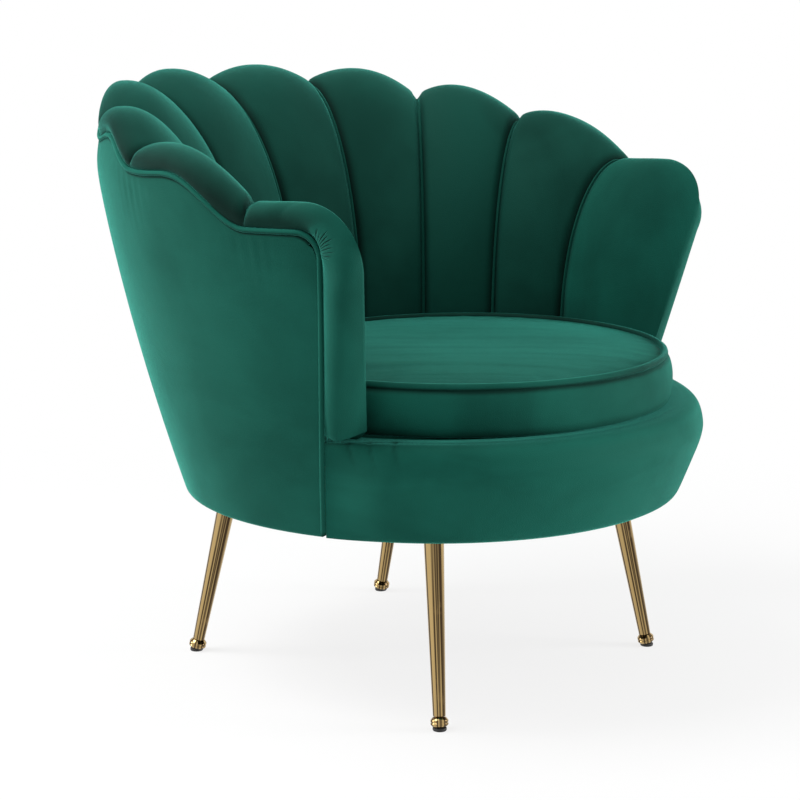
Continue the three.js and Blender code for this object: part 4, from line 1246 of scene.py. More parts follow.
class CHAIR_OT_outside(bpy.types.Operator):
    """Velvet over the outside of the shell, and the piping along its edge"""

    bl_idname = "chair.outside"
    bl_label = "Outside cover and piping"

    def execute(self, context):
        look = context.scene.chair_piping
        half, depth = cover_half()
        half = notch_pulls(half)
        cloth = Cloth()
        for side in SIDES.values():
            grid = mirrored(half, side)
            inner = grid - unit(grid * np.array([1, 1, 0])) * look.cover_lining
            cloth.grid(grid, depth)
            cloth.grid(inner)
            for row in (0, -1):
                cloth.grid(np.stack([grid[:, row], inner[:, row]], axis=1))
            cloth.grid(np.stack([grid[-1], inner[-1]], axis=0))
        piece = cloth.piece("cover")
        smooth(piece, 55)
        finished(piece, "outside_velvet", material("shell_velvet"), replaced=["outside_cover"])

        whole = self.edge_line(look, 0.0, 0.0, BODY_BOTTOM + WELT_RADIUS)
        step = np.linalg.norm(np.diff(whole, axis=0), axis=-1)
        whole = whole[np.concatenate([[True], step > look.least_step])]
        piece = piping("outside_piping", whole, look.cord_radius, 16)
        finished(piece, "outside_piping", material("edge_welt_velvet"), replaced=["outside_welt"])
        self.flange(look)
        return {"FINISHED"}

    def edge_line(self, look, rise, inset, bottom):
        """A line round the whole edge, down both arm fronts, moved outwards over the edge and into the wall."""
        top = ARM_WELT_HEIGHT + rise
        below = top - ARM_WELT_CORNER_RADIUS * 2
        corner = np.linspace(top, below, PIPING_CORNER_STEPS)[1:-1]
        heights = np.concatenate([corner, np.linspace(below, bottom, PIPING_FRONT_STEPS)])
        inwards = inset + hem_inset(heights, look.hem_radius)
        front = arm_wall_point(np.ones_like(heights), heights, inwards, -rise, top)
        half = np.concatenate([wall_line(rise, inset), front])
        return np.concatenate([mirrored(half[:0:-1], -1), half])

    def flange(self, look):
        """The piping's own strip of cloth, laid over the frame's edge behind it, painted in full shade."""
        low, high = look.flange_depth, look.flange_turn
        front, back = look.groove_depth + SEAM_GAP, COVER_THICKNESS
        over, under = WELT_RADIUS + SEAM_GAP * 2, WELT_RADIUS + SEAM_GAP
        section = (
            (-low, front), (over, front), (over, high), (under, high), (under, back), (-low, back), (-low, front))
        bottom = DECK_HEIGHT - look.flange_overlap
        cloth = Cloth()
        lines = [self.edge_line(look, rise, inset, bottom) for rise, inset in section]
        # Painted shade: the whole flange takes the deep colour.
        cloth.grid(np.stack(lines, axis=1), 1.0)
        piece = cloth.piece("flange")
        fill_ends(piece)
        smooth(piece, 50)
        finished(piece, "piping_flange", material("welt_velvet"))


# Apron and deck.


def spline_table(table, steps):
    """A smooth curve through evenly numbered values."""
    table = np.array(table, float)
    padded = np.concatenate([[2 * table[0] - table[1]], table, [2 * table[-1] - table[-2]]])
    place = np.linspace(0, len(table) - 1, steps)
    first = np.minimum(place.astype(int), len(table) - 2)
    t = place - first
    a, b, c, d = (padded[first + i] for i in range(4))
    return 0.5 * (2 * b + (c - a) * t + (2 * a - 5 * b + 4 * c - d) * t**2 + (3 * b - a - 3 * c + d) * t**3)


def apron_end(height):
    """The apron's end angle at a height, beside the piping on the arm's front, and its reach there."""
    look = bpy.context.scene.chair_piping
    welt = shell_point(arm_welt_angle(height), height)
    x, y = welt[..., 0], welt[..., 1] - SHIFT_Y + APRON_SETBACK
    reach = np.hypot(x, y)
    return np.arctan2(x, y) + look.cord_radius / reach, reach


def apron_grid():
    shares = spline_table(APRON_RADIUS_SHARES, APRON_ROWS)
    heights = BODY_BOTTOM + (DECK_HEIGHT - BODY_BOTTOM) * spline_table(APRON_HEIGHT_SHARES, APRON_ROWS)
    inner = (BOARD_RADIUS + BOARD_COVER) / APRON_HALF_WIDTH
    top = np.linspace(0, 1, APRON_TOP_ROWS + 1)[1:]
    heights = np.concatenate([heights, np.full(len(top), DECK_HEIGHT)])
    end, reach = apron_end(heights)
    beside = reach / APRON_HALF_WIDTH
    beside[-len(top):] = lerp(beside[-1], inner, top)
    shares = np.concatenate([shares, lerp(shares[-1], inner, top)])
    turn = lerp(end, 2 * np.pi - end, np.linspace(0, 1, APRON_COLUMNS + 1)[:, None])
    look = bpy.context.scene.chair_seat
    from_end = np.minimum(turn - end, 2 * np.pi - end - turn)
    radius = lerp(beside, shares, smooth_step(0, look.apron_blend, from_end))
    x = radius * APRON_HALF_WIDTH * np.sin(turn)
    y = radius * APRON_HALF_DEPTH * np.cos(turn) - APRON_SETBACK + SHIFT_Y
    grid = places(x, y, heights + np.zeros_like(turn))
    return grid, turn


def evened(move, held):
    """Takes the small wrinkles out of a cloth's movement, and leaves the held points where they are."""
    for _ in range(EVENING_PASSES):
        beside = np.pad(move, ((1, 1), (1, 1), (0, 0)), mode="edge")
        mean = (beside[:-2, 1:-1] + beside[2:, 1:-1] + beside[1:-1, :-2] + beside[1:-1, 2:]) / 4
        move = np.where(held[..., None], move, (move + mean) / 2)
    return move


def apron_creases(grid, turn):
    """Short creases over the apron's top roll, next to each arm, with painted shade in them and along the top edge."""
    look = bpy.context.scene.chair_seat
    along = np.linspace(0, 1, grid.shape[1])
    start, end = CREASE_BAND
    top = smooth_step(*start, along) * (1 - smooth_step(*end, along))
    from_end = np.minimum(turn - turn[0], turn[-1] - turn)
    crease = np.zeros_like(turn)
    for place, width in zip(look.crease_turns, look.crease_widths):
        lean = CREASE_LEAN * (grid[..., 2] - DECK_HEIGHT)
        crease += np.exp(-(((from_end - place + lean) / width) ** 2))
    normals = grid_normals(grid)
    away = grid[..., :2] - np.array([0, SHIFT_Y - APRON_SETBACK])
    outward = np.sign(np.sum(normals[..., :2] * away, axis=-1))
    # Painted shade in the creases, and along the whole top edge where it rolls in under the cushion.
    shade = crease * top * look.crease_shade + look.apron_top_shade * smooth_step(*APRON_TOP_SHADE_BAND, along)
    return grid - normals * (outward * look.crease_depth * crease * top)[..., None], shade


class CHAIR_OT_seat_base(bpy.types.Operator):
    """Padded apron round the front of the seat, and the deck under the cushion"""

    bl_idname = "chair.seat_base"
    bl_label = "Apron and deck"

    def execute(self, context):
        grid, turn = apron_grid()
        held = np.zeros(grid.shape[:2], bool)
        held[[0, -1]] = held[:, :3] = held[:, -APRON_TOP_ROWS - 2:] = True
        look = context.scene.chair_seat
        swollen = inflated([grid], [held], look.apron_pressure, look.apron_swell)[0]
        grid = grid + evened(swollen - grid, held)
        # creases holds the painted shade of the creases and of the top edge.
        grid, creases = apron_creases(grid, turn)
        cloth = Cloth()
        cloth.grid(grid, creases)
        back = grid[:, [-1]].copy()
        low = back.copy()
        low[..., 2] = BODY_BOTTOM
        cloth.grid(np.concatenate([back, low, grid[:, :1]], axis=1))
        piece = cloth.piece("apron")
        fill_ends(piece)
        smooth(piece, 60)
        finished(piece, "apron_velvet", material("apron_velvet"), replaced=["apron"])
        self.deck(look)
        return {"FINISHED"}

    def deck(self, look):
        low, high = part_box("deck_pad")
        radius = (high.x - low.x) / 2
        centre = (low + high) / 2
        bpy.ops.mesh.primitive_cylinder_add(vertices=96, radius=radius, depth=high.z - low.z, location=centre)
        deck = bpy.context.object
        bpy.ops.object.mode_set(mode="EDIT")
        shape = bmesh.from_edit_mesh(deck.data)
        rims = [edge for edge in shape.edges if abs(edge.verts[0].co.z - edge.verts[1].co.z) < SEAM_GAP]
        bpy.ops.mesh.select_all(action="DESELECT")
        bpy.ops.mesh.select_mode(type="EDGE")
        for edge in rims:
            edge.select_set(True)
        shape.select_flush_mode()
        bmesh.update_edit_mesh(deck.data)
        bpy.ops.mesh.bevel(offset=look.deck_round, segments=5, affect="EDGES")
        bpy.ops.object.mode_set(mode="OBJECT")
        place_in_mesh(deck)
        smooth(deck, 35)
        finished(deck, "deck_velvet", material("deck_velvet"), replaced=["deck_pad"])


# Loose cushion.


def cushion_point(turn, radius, height):
    """A point of the cushion, which is a little flatter at its rear."""
    rear = np.maximum(0, np.cos(turn))
    reach = radius * lerp(1, CUSHION_REAR_SHARE, rear * rear)
    return places(reach * np.sin(turn), reach * np.cos(turn) - CUSHION_SETBACK + SHIFT_Y, height)


CUSHION_BOTTOM = DECK_HEIGHT + SEAT_GAP
PANEL_EDGE = CUSHION_RADIUS - CUSHION_WELT_RADIUS - SEAT_GAP * 2


def cushion_grids():
    """Top panel, boxing and bottom panel as one closed cover, before it is blown up."""
    turn = np.linspace(0, 2 * np.pi, CUSHION_COLUMNS + 1)[:, None]
    share = np.linspace(0, 1, CUSHION_TOP_ROWS)[None, :]
    crown = CUSHION_CROWN * (1 - share**CUSHION_CROWN_POWER)
    top = cushion_point(turn, PANEL_EDGE * share, CUSHION_TOP_SEAM + crown)
    reach = CUSHION_RADIUS + spline_table(CUSHION_SIDE_REACHES, CUSHION_SIDE_ROWS)
    rise = spline_table(CUSHION_SIDE_RISES, CUSHION_SIDE_ROWS)
    side = cushion_point(turn, reach, lerp(CUSHION_BOTTOM, CUSHION_TOP_SEAM, rise))
    out = np.linspace(1, 0, CUSHION_BOTTOM_ROWS)[None, :]
    droop = CUSHION_WELT_RADIUS * smooth_step(CUSHION_DROOP_START, 1, out)
    bottom = cushion_point(turn, (CUSHION_FOOT - CUSHION_WELT_RADIUS * 2) * out, CUSHION_BOTTOM + droop)
    return top, side, bottom


class CHAIR_OT_cushion(bpy.types.Operator):
    """Loose round cushion: crowned top, boxed side, bottom, its piping and its zip"""

    bl_idname = "chair.cushion"
    bl_label = "Cushion"

    def execute(self, context):
        look = context.scene.chair_seat
        top, side, bottom = cushion_grids()
        held_top = np.zeros(top.shape[:2], bool)
        held_top[:, -2:] = True
        held_side = np.zeros(side.shape[:2], bool)
        held_side[:, :3] = held_side[:, -12:] = True
        zip_low, zip_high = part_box("cushion_zip")
        behind = (side[..., 1] > zip_low.y - look.zip_margin) & (np.abs(side[..., 0]) < zip_high.x + look.zip_margin)
        held_side |= behind
        held_bottom = np.ones(bottom.shape[:2], bool)
        top, side, bottom = inflated([top, side, bottom], [held_top, held_side, held_bottom],
                                     look.cushion_pressure, look.cushion_swell)
        top, shade = self.top_marks(top, look)
        parts = (
            ("cushion_top_velvet", "seat_velvet", top, shade, "cushion_top_panel"),
            ("cushion_side_velvet", "boxing_velvet", side, self.side_shade(side), "cushion_boxing"),
            ("cushion_bottom_velvet", "seat_velvet", bottom, 0.0, "cushion_bottom_panel"),
        )
        for name, finish, grid, depth, node in parts:
            piece = self.panel(name, grid, depth, look)
            finished(piece, name, material(finish), CUSHION_BODY, [node])
        turn = np.linspace(0, 2 * np.pi, CUSHION_COLUMNS + 1)[:-1]
        rings = (
            ("cushion_top_piping", CUSHION_RADIUS, CUSHION_TOP_SEAM, "cushion_top_welt"),
            ("cushion_bottom_piping", CUSHION_FOOT - CUSHION_WELT_RADIUS, CUSHION_BOTTOM + CUSHION_WELT_RADIUS,
             "cushion_bottom_welt"),
        )
        for name, radius, height, node in rings:
            piece = piping(name, cushion_point(turn, radius, height), CUSHION_WELT_RADIUS, 16, closed=True)
            self.paint_piping_side_shade(piece, look)
            finished(piece, name, material("seat_welt_velvet"), CUSHION_BODY, [node])
        self.zip(look)
        return {"FINISHED"}

    def paint_piping_side_shade(self, piece, look):
        """Paints shade on the piping, so that it is dark on the sitter's left."""
        points = np.array([v.co for v in piece.data.vertices])
        depth = piece.data.attributes["seam"].data
        seam = np.zeros(len(points), np.float32)
        depth.foreach_get("value", seam)
        laid = look.piping_side_shade * smooth_step(-CUSHION_RADIUS / 3, CUSHION_RADIUS / 3, points[:, 0])
        depth.foreach_set("value", np.maximum(seam, laid).astype(np.float32))

    def top_marks(self, top, look):
        """A shallow dip where people sit, soft ripples just inside the piping, and painted shade along the piping."""
        centre = np.array([0, SHIFT_Y - CUSHION_SETBACK])
        away = top[..., :2] - centre
        radius = np.linalg.norm(away, axis=-1)
        angle = np.arctan2(away[..., 0], away[..., 1])
        inside = PANEL_EDGE - radius
        edge = np.exp(-((inside / look.ripple_reach) ** 2)) * smooth_step(0, RIPPLE_START, inside)
        (fine, fine_share), (wide, wide_share) = RIPPLE_WAVES
        turns, shift = RIPPLE_SHIFT
        wave = np.sin(angle * wide + shift * np.sin(angle * turns)) * wide_share + np.sin(angle * fine) * fine_share
        dip = np.exp(-((radius / look.dip_reach) ** 2))
        top = top.copy()
        top[..., 2] += look.ripple_height * (edge * wave) - look.dip_depth * dip
        return top, look.seam_shade * smooth_step(look.seam_reach * 0.5, 0.0, inside)

    def side_shade(self, side):
        # Painted shade on the boxing under the top piping, and along its foot on the deck.
        look = bpy.context.scene.chair_seat
        height = side[..., 2]
        top = smooth_step(look.seam_reach * 1.4, look.seam_reach * 0.4, CUSHION_TOP_SEAM - height)
        low = smooth_step(look.seam_reach * 2, 0.0, height - CUSHION_BOTTOM)
        return np.maximum(look.seam_shade * top, CUSHION_LOW_SHADE * low)

    def panel(self, name, grid, depth, look):
        """A cloth panel with its thickness turned inwards, closed at its seams."""
        normals = grid_normals(grid)
        for pole, beside in ((0, 1), (-1, -2)):
            if np.ptp(grid[:, pole, 0]) < SEAM_GAP:
                normals[:, pole] = unit(normals[:, beside].mean(axis=0))
        centre = np.array([0, SHIFT_Y - CUSHION_SETBACK, (CUSHION_BOTTOM + CUSHION_TOP_SEAM) / 2])
        outward = np.sign(np.sum(normals * (grid - centre), axis=-1).mean())
        cloth = Cloth()
        cloth.grid(grid, depth)
        inner = grid - normals * (outward * look.panel_thickness)
        inner[[0, -1]] = (inner[0] + inner[-1]) / 2
        cloth.grid(inner)
        for row in (0, -1):
            if np.ptp(grid[:, row, 0]) > CUSHION_RADIUS:
                cloth.grid(np.stack([grid[:, row], inner[:, row]], axis=1))
        piece = cloth.piece(name)
        smooth(piece, 60)
        return piece

    def zip(self, look):
        """Nylon teeth along the tape, and the slider with its puller."""
        low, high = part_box("cushion_zip")
        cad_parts["cushion_zip"].data.materials.clear()
        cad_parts["cushion_zip"].data.materials.append(material("zip_tape"))
        height = (low.z + high.z) / 2
        reach = (high.x - look.tooth_pitch * 2) / (CUSHION_BELLY * CUSHION_REAR_SHARE)
        count = int(2 * high.x / look.tooth_pitch) - 4
        face = CUSHION_BELLY + SEAT_GAP + 0.0015
        deselect_all()
        bpy.ops.mesh.primitive_torus_add(major_radius=look.tooth_pitch * 0.8, minor_radius=look.tooth_pitch * 0.3,
                                         major_segments=10, minor_segments=5)
        tooth = bpy.context.object
        shape = np.array([v.co for v in tooth.data.vertices]) @ np.array([[0, 0, 1], [1, 0, 0], [0, 1, 0]])
        faces = np.array([list(polygon.vertices) for polygon in tooth.data.polygons])
        points, corners = [], []
        for index, turn in enumerate(np.linspace(-reach, reach, count)):
            place = cushion_point(np.array(turn), face, height)
            points.append(shape * np.array([1.0, 0.7, 1.6]) + place)
            corners.append(faces + index * len(shape))
        bpy.data.objects.remove(tooth)
        teeth = new_piece("zip_teeth", np.concatenate(points).tolist(), np.concatenate(corners).tolist())
        smooth(teeth, 60)
        finished(teeth, "zip_teeth", material("zip_nylon"), CUSHION_BODY)
        end = Vector(cushion_point(np.array(-reach * 0.93), face + 0.002, height))
        self.slider(end, look)

    def slider(self, place, look):
        deselect_all()
        size = look.slider_size
        bpy.ops.mesh.primitive_cube_add(size=size, location=place)
        body = bpy.context.object
        body.scale = (1.0, 0.35, 0.8)
        bpy.ops.object.transform_apply(location=False, rotation=False, scale=True)
        bevelled(body, size * 0.14, 3)
        hanging = place + Vector((size * 0.9, size * 0.1, -size * 0.1))
        bpy.ops.mesh.primitive_torus_add(major_radius=size * 0.55, minor_radius=size * 0.09, major_segments=28,
                                         minor_segments=8, location=hanging)
        puller = bpy.context.object
        puller.rotation_euler = (math.pi / 2, 0, 0)
        puller.scale = (1.5, 1.0, 1.0)
        for piece in (body, puller):
            place_in_mesh(piece)
        activate(body)
        puller.select_set(True)
        bpy.ops.object.join()
        smooth(body, 35)
        finished(body, "zip_slider", material("zinc_plate"), CUSHION_BODY)


# Legs.

LEG_NAMES = ("front_left", "front_right", "rear_left", "rear_right")


def end_ring(node, top):
    """The middle and the radius of a CAD solid's lowest or highest ring."""
    points = np.array([v.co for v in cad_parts[node].data.vertices])
    height = points[:, 2].max() if top else points[:, 2].min()
    ring = points[np.abs(points[:, 2] - height) < SEAM_GAP]
    return Vector((ring.min(axis=0) + ring.max(axis=0)) / 2), float(np.ptp(ring[:, 0]) / 2)


def turned_piece(profile, foot, axis, steps=56):
    """A round piece spun from a profile of radius and height pairs, standing on a foot point along an axis."""
    line = [(i, i + 1) for i in range(len(profile) - 1)]
    piece = new_piece("turned", [(r, 0, z) for r, z in profile], [], line)
    edited(
        piece,
        lambda: bpy.ops.mesh.spin(steps=steps, angle=2 * math.pi, center=(0, 0, 0), axis=(0, 0, 1)),
        lambda: bpy.ops.mesh.select_all(action="SELECT"),
        lambda: bpy.ops.mesh.remove_doubles(threshold=WELD_DISTANCE / 2),
    )
    round_grain(piece)
    piece.rotation_mode = "QUATERNION"
    piece.rotation_quaternion = Vector((0, 0, 1)).rotation_difference(axis)
    piece.location = foot
    place_in_mesh(piece)
    smooth(piece, 32)
    return piece


def round_grain(piece):
    """Stores where each point lies round the axis and along it, for the drawn metal's relief and the painted
    reflection streaks.
    """
    points = np.array([v.co for v in piece.data.vertices])
    reach = np.maximum(np.hypot(points[:, 0], points[:, 1]), 1e-6)
    grain = np.column_stack([points[:, 0] / reach, points[:, 1] / reach, points[:, 2]])
    piece.data.attributes.new("grain", "FLOAT_VECTOR", "POINT").data.foreach_set("vector", grain.ravel())


def rounded(profile, radius, steps=4):
    """Rounds the corners of a profile, apart from its two ends."""
    out = [profile[0]]
    for before, corner, after in zip(profile, profile[1:], profile[2:]):
        a, b, c = (Vector(p) for p in (before, corner, after))
        reach = min(radius, (a - b).length * 0.45, (c - b).length * 0.45)
        start, end = b + (a - b).normalized() * reach, b + (c - b).normalized() * reach
        for step in range(steps + 1):
            t = step / steps
            out.append(tuple(start * (1 - t) ** 2 + b * 2 * t * (1 - t) + end * t * t))
    return out + [profile[-1]]


# Profiles of the turned pieces, as shares of their own radius and height.
COLLAR_WIDTH, COLLAR_TOP_WIDTH = 1.05, 0.98
COLLAR_BOTTOM, COLLAR_TOP = 0.9, 0.15
GLIDE_PROFILE = ((1, 0.22), (1, 0.34), (0.93, 0.42), (1, 0.5), (1, 0.66))
GLIDE_NECK_WIDTH, GLIDE_NECK_HEIGHT = 1.02, 0.97
PAD_PROFILE = ((0.94, 0), (1, 0.25), (1, 0.8), (0.9, 1))
PAD_ROUND = 0.2
SCREW_PROFILE = ((1, 0), (0.9, 0.45), (0.5, 0.62), (0, 0.62))
SCREW_ROUND = 0.15
SCREW_RING = 0.72
SCREW_TURNS = (30, 150, 270)


def scaled(profile, width, height):
    return [(width * wide, height * high) for wide, high in profile]


class CHAIR_OT_legs(bpy.types.Operator):
    """Tapered metal legs, with their turned glides, black pads and mounting screws"""

    bl_idname = "chair.legs"
    bl_label = "Legs"

    def execute(self, context):
        look = context.scene.chair_metal
        for name in LEG_NAMES:
            leg = f"leg_{name}"
            (foot, low), (top, high) = end_ring(leg, False), end_ring(leg, True)
            axis = (top - foot).normalized()
            length = (top - foot).length
            collar = look.collar_height
            profile = [(0, 0), (low, 0), (lerp(low, high, 1 - collar / length), length - collar),
                       (high * COLLAR_WIDTH, length - collar * COLLAR_BOTTOM),
                       (high * COLLAR_WIDTH, length - collar * COLLAR_TOP),
                       (high * COLLAR_TOP_WIDTH, length), (0, length)]
            piece = turned_piece(rounded(profile, look.edge_radius), foot, axis)
            finished(piece, f"leg_gold_{name}", material("polished_brass"), replaced=[leg])
            self.glide(name, axis, low, look)
            self.pad(name)
            self.screws(name, look)
        return {"FINISHED"}

    def glide(self, name, axis, neck, look):
        node = f"glide_{name}"
        (foot, pad), (top, _) = end_ring(node, False), end_ring(node, True)
        height = (top - foot).length
        low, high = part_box(node)
        widest = (high.x - low.x) / 2 - abs(axis.x / axis.z) * height / 2
        neck_place = (neck * GLIDE_NECK_WIDTH, height * GLIDE_NECK_HEIGHT)
        profile = [(0, 0), (pad, 0), *scaled(GLIDE_PROFILE, widest, height), neck_place, (0, height)]
        piece = turned_piece(rounded(profile, look.edge_radius), foot, axis, 48)
        finished(piece, f"glide_gold_{name}", material("polished_brass"), replaced=[node])

    def pad(self, name):
        node = f"foot_pad_{name}"
        (foot, radius), (top, _) = end_ring(node, False), end_ring(node, True)
        height = (top - foot).length
        lean = (top - foot).normalized()
        profile = [(0, 0), *scaled(PAD_PROFILE, radius, height), (0, height)]
        upright = foot + Vector((lean.x, lean.y, 0)) * height / 2
        piece = turned_piece(rounded(profile, height * PAD_ROUND), upright, Vector((0, 0, 1)), 40)
        finished(piece, f"foot_pad_black_{name}", material("black_rubber"), replaced=[node])

    def screws(self, name, look):
        """Three pan head screws that hold the leg's plate up to the base."""
        low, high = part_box(f"leg_plate_{name}")
        centre = (low + high) / 2
        reach = (high.x - low.x) / 2 * SCREW_RING
        size = look.screw_radius
        profile = rounded([(0, 0), *scaled(SCREW_PROFILE, size, size)], size * SCREW_ROUND, 3)
        heads = []
        for turn in np.radians(SCREW_TURNS):
            place = Vector((centre.x + reach * math.cos(turn), centre.y + reach * math.sin(turn), low.z))
            heads.append(turned_piece(profile, place, Vector((0, 0, -1)), 20))
        activate(heads[0])
        for head in heads:
            head.select_set(True)
        bpy.ops.object.join()
        finished(heads[0], f"plate_screws_{name}", material("zinc_plate"))


# What stays as it is, with a better finish.

FRAME_FINISHES = {
    "plywood": ["back_frame", "base_board", "seat_board", "apron_board"]
               + [f"base_block_{side}" for side in ("rear", "left", "front", "right")],
    "lining_cloth": ["dust_cover"],
    "open_foam": ["cushion_core"],
    "zinc_plate": [f"{kind}_{name}" for kind in ("leg_plate", "tee_nut") for name in LEG_NAMES],
}


STAPLE_BEVEL = 0.3
STAPLE_TILT, STAPLE_TILT_STEP = 0.12, 7.3


class CHAIR_OT_frame(bpy.types.Operator):
    """Finishes of the boards, plates, foam and lining, and the staples round the lining"""

    bl_idname = "chair.frame"
    bl_label = "Frame and fixings"

    def execute(self, context):
        for finish, nodes in FRAME_FINISHES.items():
            for node in nodes:
                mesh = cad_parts[node].data
                mesh.materials.clear()
                mesh.materials.append(material(finish))
        self.staples(context.scene.chair_metal)
        return {"FINISHED"}

    def staples(self, look):
        """A ring of wire staples through the lining into the base board."""
        low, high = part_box("dust_cover")
        radius = (high.x - low.x) / 2 - look.staple_inset
        centre = (low + high) / 2
        count = int(2 * math.pi * radius / look.staple_pitch)
        wire = look.staple_wire
        deselect_all()
        bpy.ops.mesh.primitive_cube_add(size=1)
        one = bpy.context.object
        one.scale = (look.staple_width, wire, wire)
        place_in_mesh(one)
        bevelled(one, wire * STAPLE_BEVEL, 1)
        shape = np.array([v.co for v in one.data.vertices])
        faces = [list(polygon.vertices) for polygon in one.data.polygons]
        bpy.data.objects.remove(one)
        points, corners = [], []
        for index in range(count):
            turn = 2 * math.pi * (index + 0.5) / count
            tilt = turn + math.pi / 2 + STAPLE_TILT * math.sin(index * STAPLE_TILT_STEP)
            spin = np.array([[math.cos(tilt), math.sin(tilt), 0], [-math.sin(tilt), math.cos(tilt), 0], [0, 0, 1]])
            place = np.array([
                centre.x + radius * math.cos(turn), centre.y + radius * math.sin(turn), low.z - wire / 3])
            points.append(shape @ spin + place)
            corners += [[corner + index * len(shape) for corner in face] for face in faces]
        piece = new_piece("staples", np.concatenate(points).tolist(), corners)
        finished(piece, "lining_staples", material("zinc_plate"))


# Stage.

NEAR_SHARE = 0.4


class CHAIR_OT_stage(bpy.types.Operator):
    """Pale floor, soft studio light and the camera at the photograph's angle"""

    bl_idname = "chair.stage"
    bl_label = "Stage"

    def execute(self, context):
        look = context.scene.chair_stage
        self.floor(look)
        self.world(look)
        for name, power, place, size, target in (
            ("key", look.key_power, look.key_place, look.key_size, (0, 0, 0.4)),
            ("fill", look.fill_power, look.fill_place, look.fill_size, (0, 0, 0.4)),
            ("rim", look.rim_power, look.rim_place, look.rim_size, (0, 0, 0.5)),
        ):
            self.lamp(name, power, Vector(place), size, Vector(target))
        self.camera(look)
        context.scene.view_settings.view_transform = "Standard"
        return {"FINISHED"}

    def world(self, look):
        """Soft light from all round. The camera, metal and glass see the plain backdrop instead."""
        world = bpy.data.worlds.new("studio")
        bpy.context.scene.world = world
        world.use_nodes = True
        paint = Paint.on_tree(world.node_tree)
        light = paint.node("ShaderNodeBackground", {}, {0: solid(look.sky), 1: look.sky_strength})
        glow = paint.node("ShaderNodeBackground", {}, {0: solid(look.backdrop), 1: 1.0})
        shown = {0: paint.seen(), 1: light.outputs[0], 2: glow.outputs[0]}
        mix = paint.node("ShaderNodeMixShader", {}, shown)
        paint.node("ShaderNodeOutputWorld", {}, {0: mix.outputs[0]})

    def floor(self, look):
        """A pale floor that keeps the chair's shadow near it, and glows like the backdrop further out."""
        deselect_all()
        bpy.ops.mesh.primitive_circle_add(vertices=96, radius=look.floor_radius, fill_type="NGON")
        floor = bpy.context.object
        floor.name = "studio_floor"
        paint = Paint("studio_floor")
        mottle = paint.noise(2.0, detail=2.0)
        paint.set(Base_Color=paint.blend(mottle * 0.2, solid(look.floor), solid(look.floor_shade)),
                  Roughness=0.9, Specular_IOR_Level=0.1)
        away = paint.node("ShaderNodeVectorMath", {"operation": "LENGTH"}, {0: paint.coordinates}).outputs["Value"]
        far = paint.band(away, look.shadow_reach * NEAR_SHARE, look.shadow_reach)
        share = (look.floor_glow + far * (1 - look.floor_glow)) * paint.seen()
        glow = paint.node("ShaderNodeEmission", {}, {0: solid(look.backdrop), 1: 1.0})
        mix = paint.node("ShaderNodeMixShader", {}, {0: share, 1: paint.shader.outputs[0], 2: glow.outputs[0]})
        paint.feed(paint.tree.nodes["Material Output"], {0: mix.outputs[0]})
        floor.data.materials.append(paint.material)

    def lamp(self, name, power, place, size, target):
        light = bpy.data.lights.new(name, "AREA")
        light.shape = "RECTANGLE"
        light.size, light.size_y = size
        light.energy = power
        lamp = bpy.data.objects.new(name, light)
        lamp.location = place
        lamp.rotation_mode = "QUATERNION"
        lamp.rotation_quaternion = (target - place).to_track_quat("-Z", "Y")
        bpy.context.scene.collection.objects.link(lamp)

    def camera(self, look):
        data = bpy.data.cameras.new("camera")
        data.sensor_width = look.sensor_width
        data.lens = look.lens
        camera = bpy.data.objects.new("camera", data)
        turn, rise = look.azimuth, look.elevation
        back = Vector((math.sin(turn) * math.cos(rise), -math.cos(turn) * math.cos(rise), math.sin(rise)))
        target = Vector((0, SHIFT_Y, look.target_height))
        camera.location = target + back * look.distance
        camera.rotation_mode = "QUATERNION"
        camera.rotation_quaternion = (-back).to_track_quat("-Z", "Y")
        data.clip_end = look.floor_radius * 4
        bpy.context.scene.collection.objects.link(camera)
        bpy.context.scene.camera = camera


# Sizes and colours that a user would change.


def length(label, default, description):
    return FloatProperty(name=label, description=description, default=default, min=0.0, unit="LENGTH", precision=4)


def number(label, default, description):
    return FloatProperty(name=label, description=description, default=default, min=0.0, precision=3)


def angle_setting(label, default, description):
    return FloatProperty(name=label, description=description, default=default, subtype="ANGLE")


def place_setting(label, default, description):
    return FloatVectorProperty(name=label, description=description, default=default, subtype="XYZ", unit="LENGTH")


def size_setting(label, default, description):
    return FloatVectorProperty(name=label, description=description, default=default, size=2, unit="LENGTH")


def colour(label, default, description):
    return FloatVectorProperty(name=label, description=description, default=default, size=3, min=0.0, max=1.0,
                               subtype="COLOR")


class ChannelSettings(bpy.types.PropertyGroup):
    seam_depth: length("Seam depth", 0.0052, "How deep the cover is drawn in at a seam between channels")
    seam_width: length("Seam reach", 0.011, "How far from a seam the cover starts to dip")
    cord_radius: length("Cord radius", 0.0022, "Radius of the cord sunk in each seam")
    fullness: length("Fullness", 0.0022, "Extra roundness across a channel")
    pressure: number("Pressure", 4.0, "Pressure of the padding under the cloth")
    swell: length("Swell", 0.004, "The most that the padding may push a point out")
    roll_shade: number("Roll shade", 0.95, "How dark the roll's side is just above the piping")
    tab_lift: length("Front lift", 0.011, "How far the arm's front roll is lifted off the apron on its inner side")
    tab_round: length("Front rounding", 0.009, "Rounding of the arm's front roll beside the piping")
    tab_reach: length("Front reach", 0.045, "Height over which the arm's front roll is lifted")


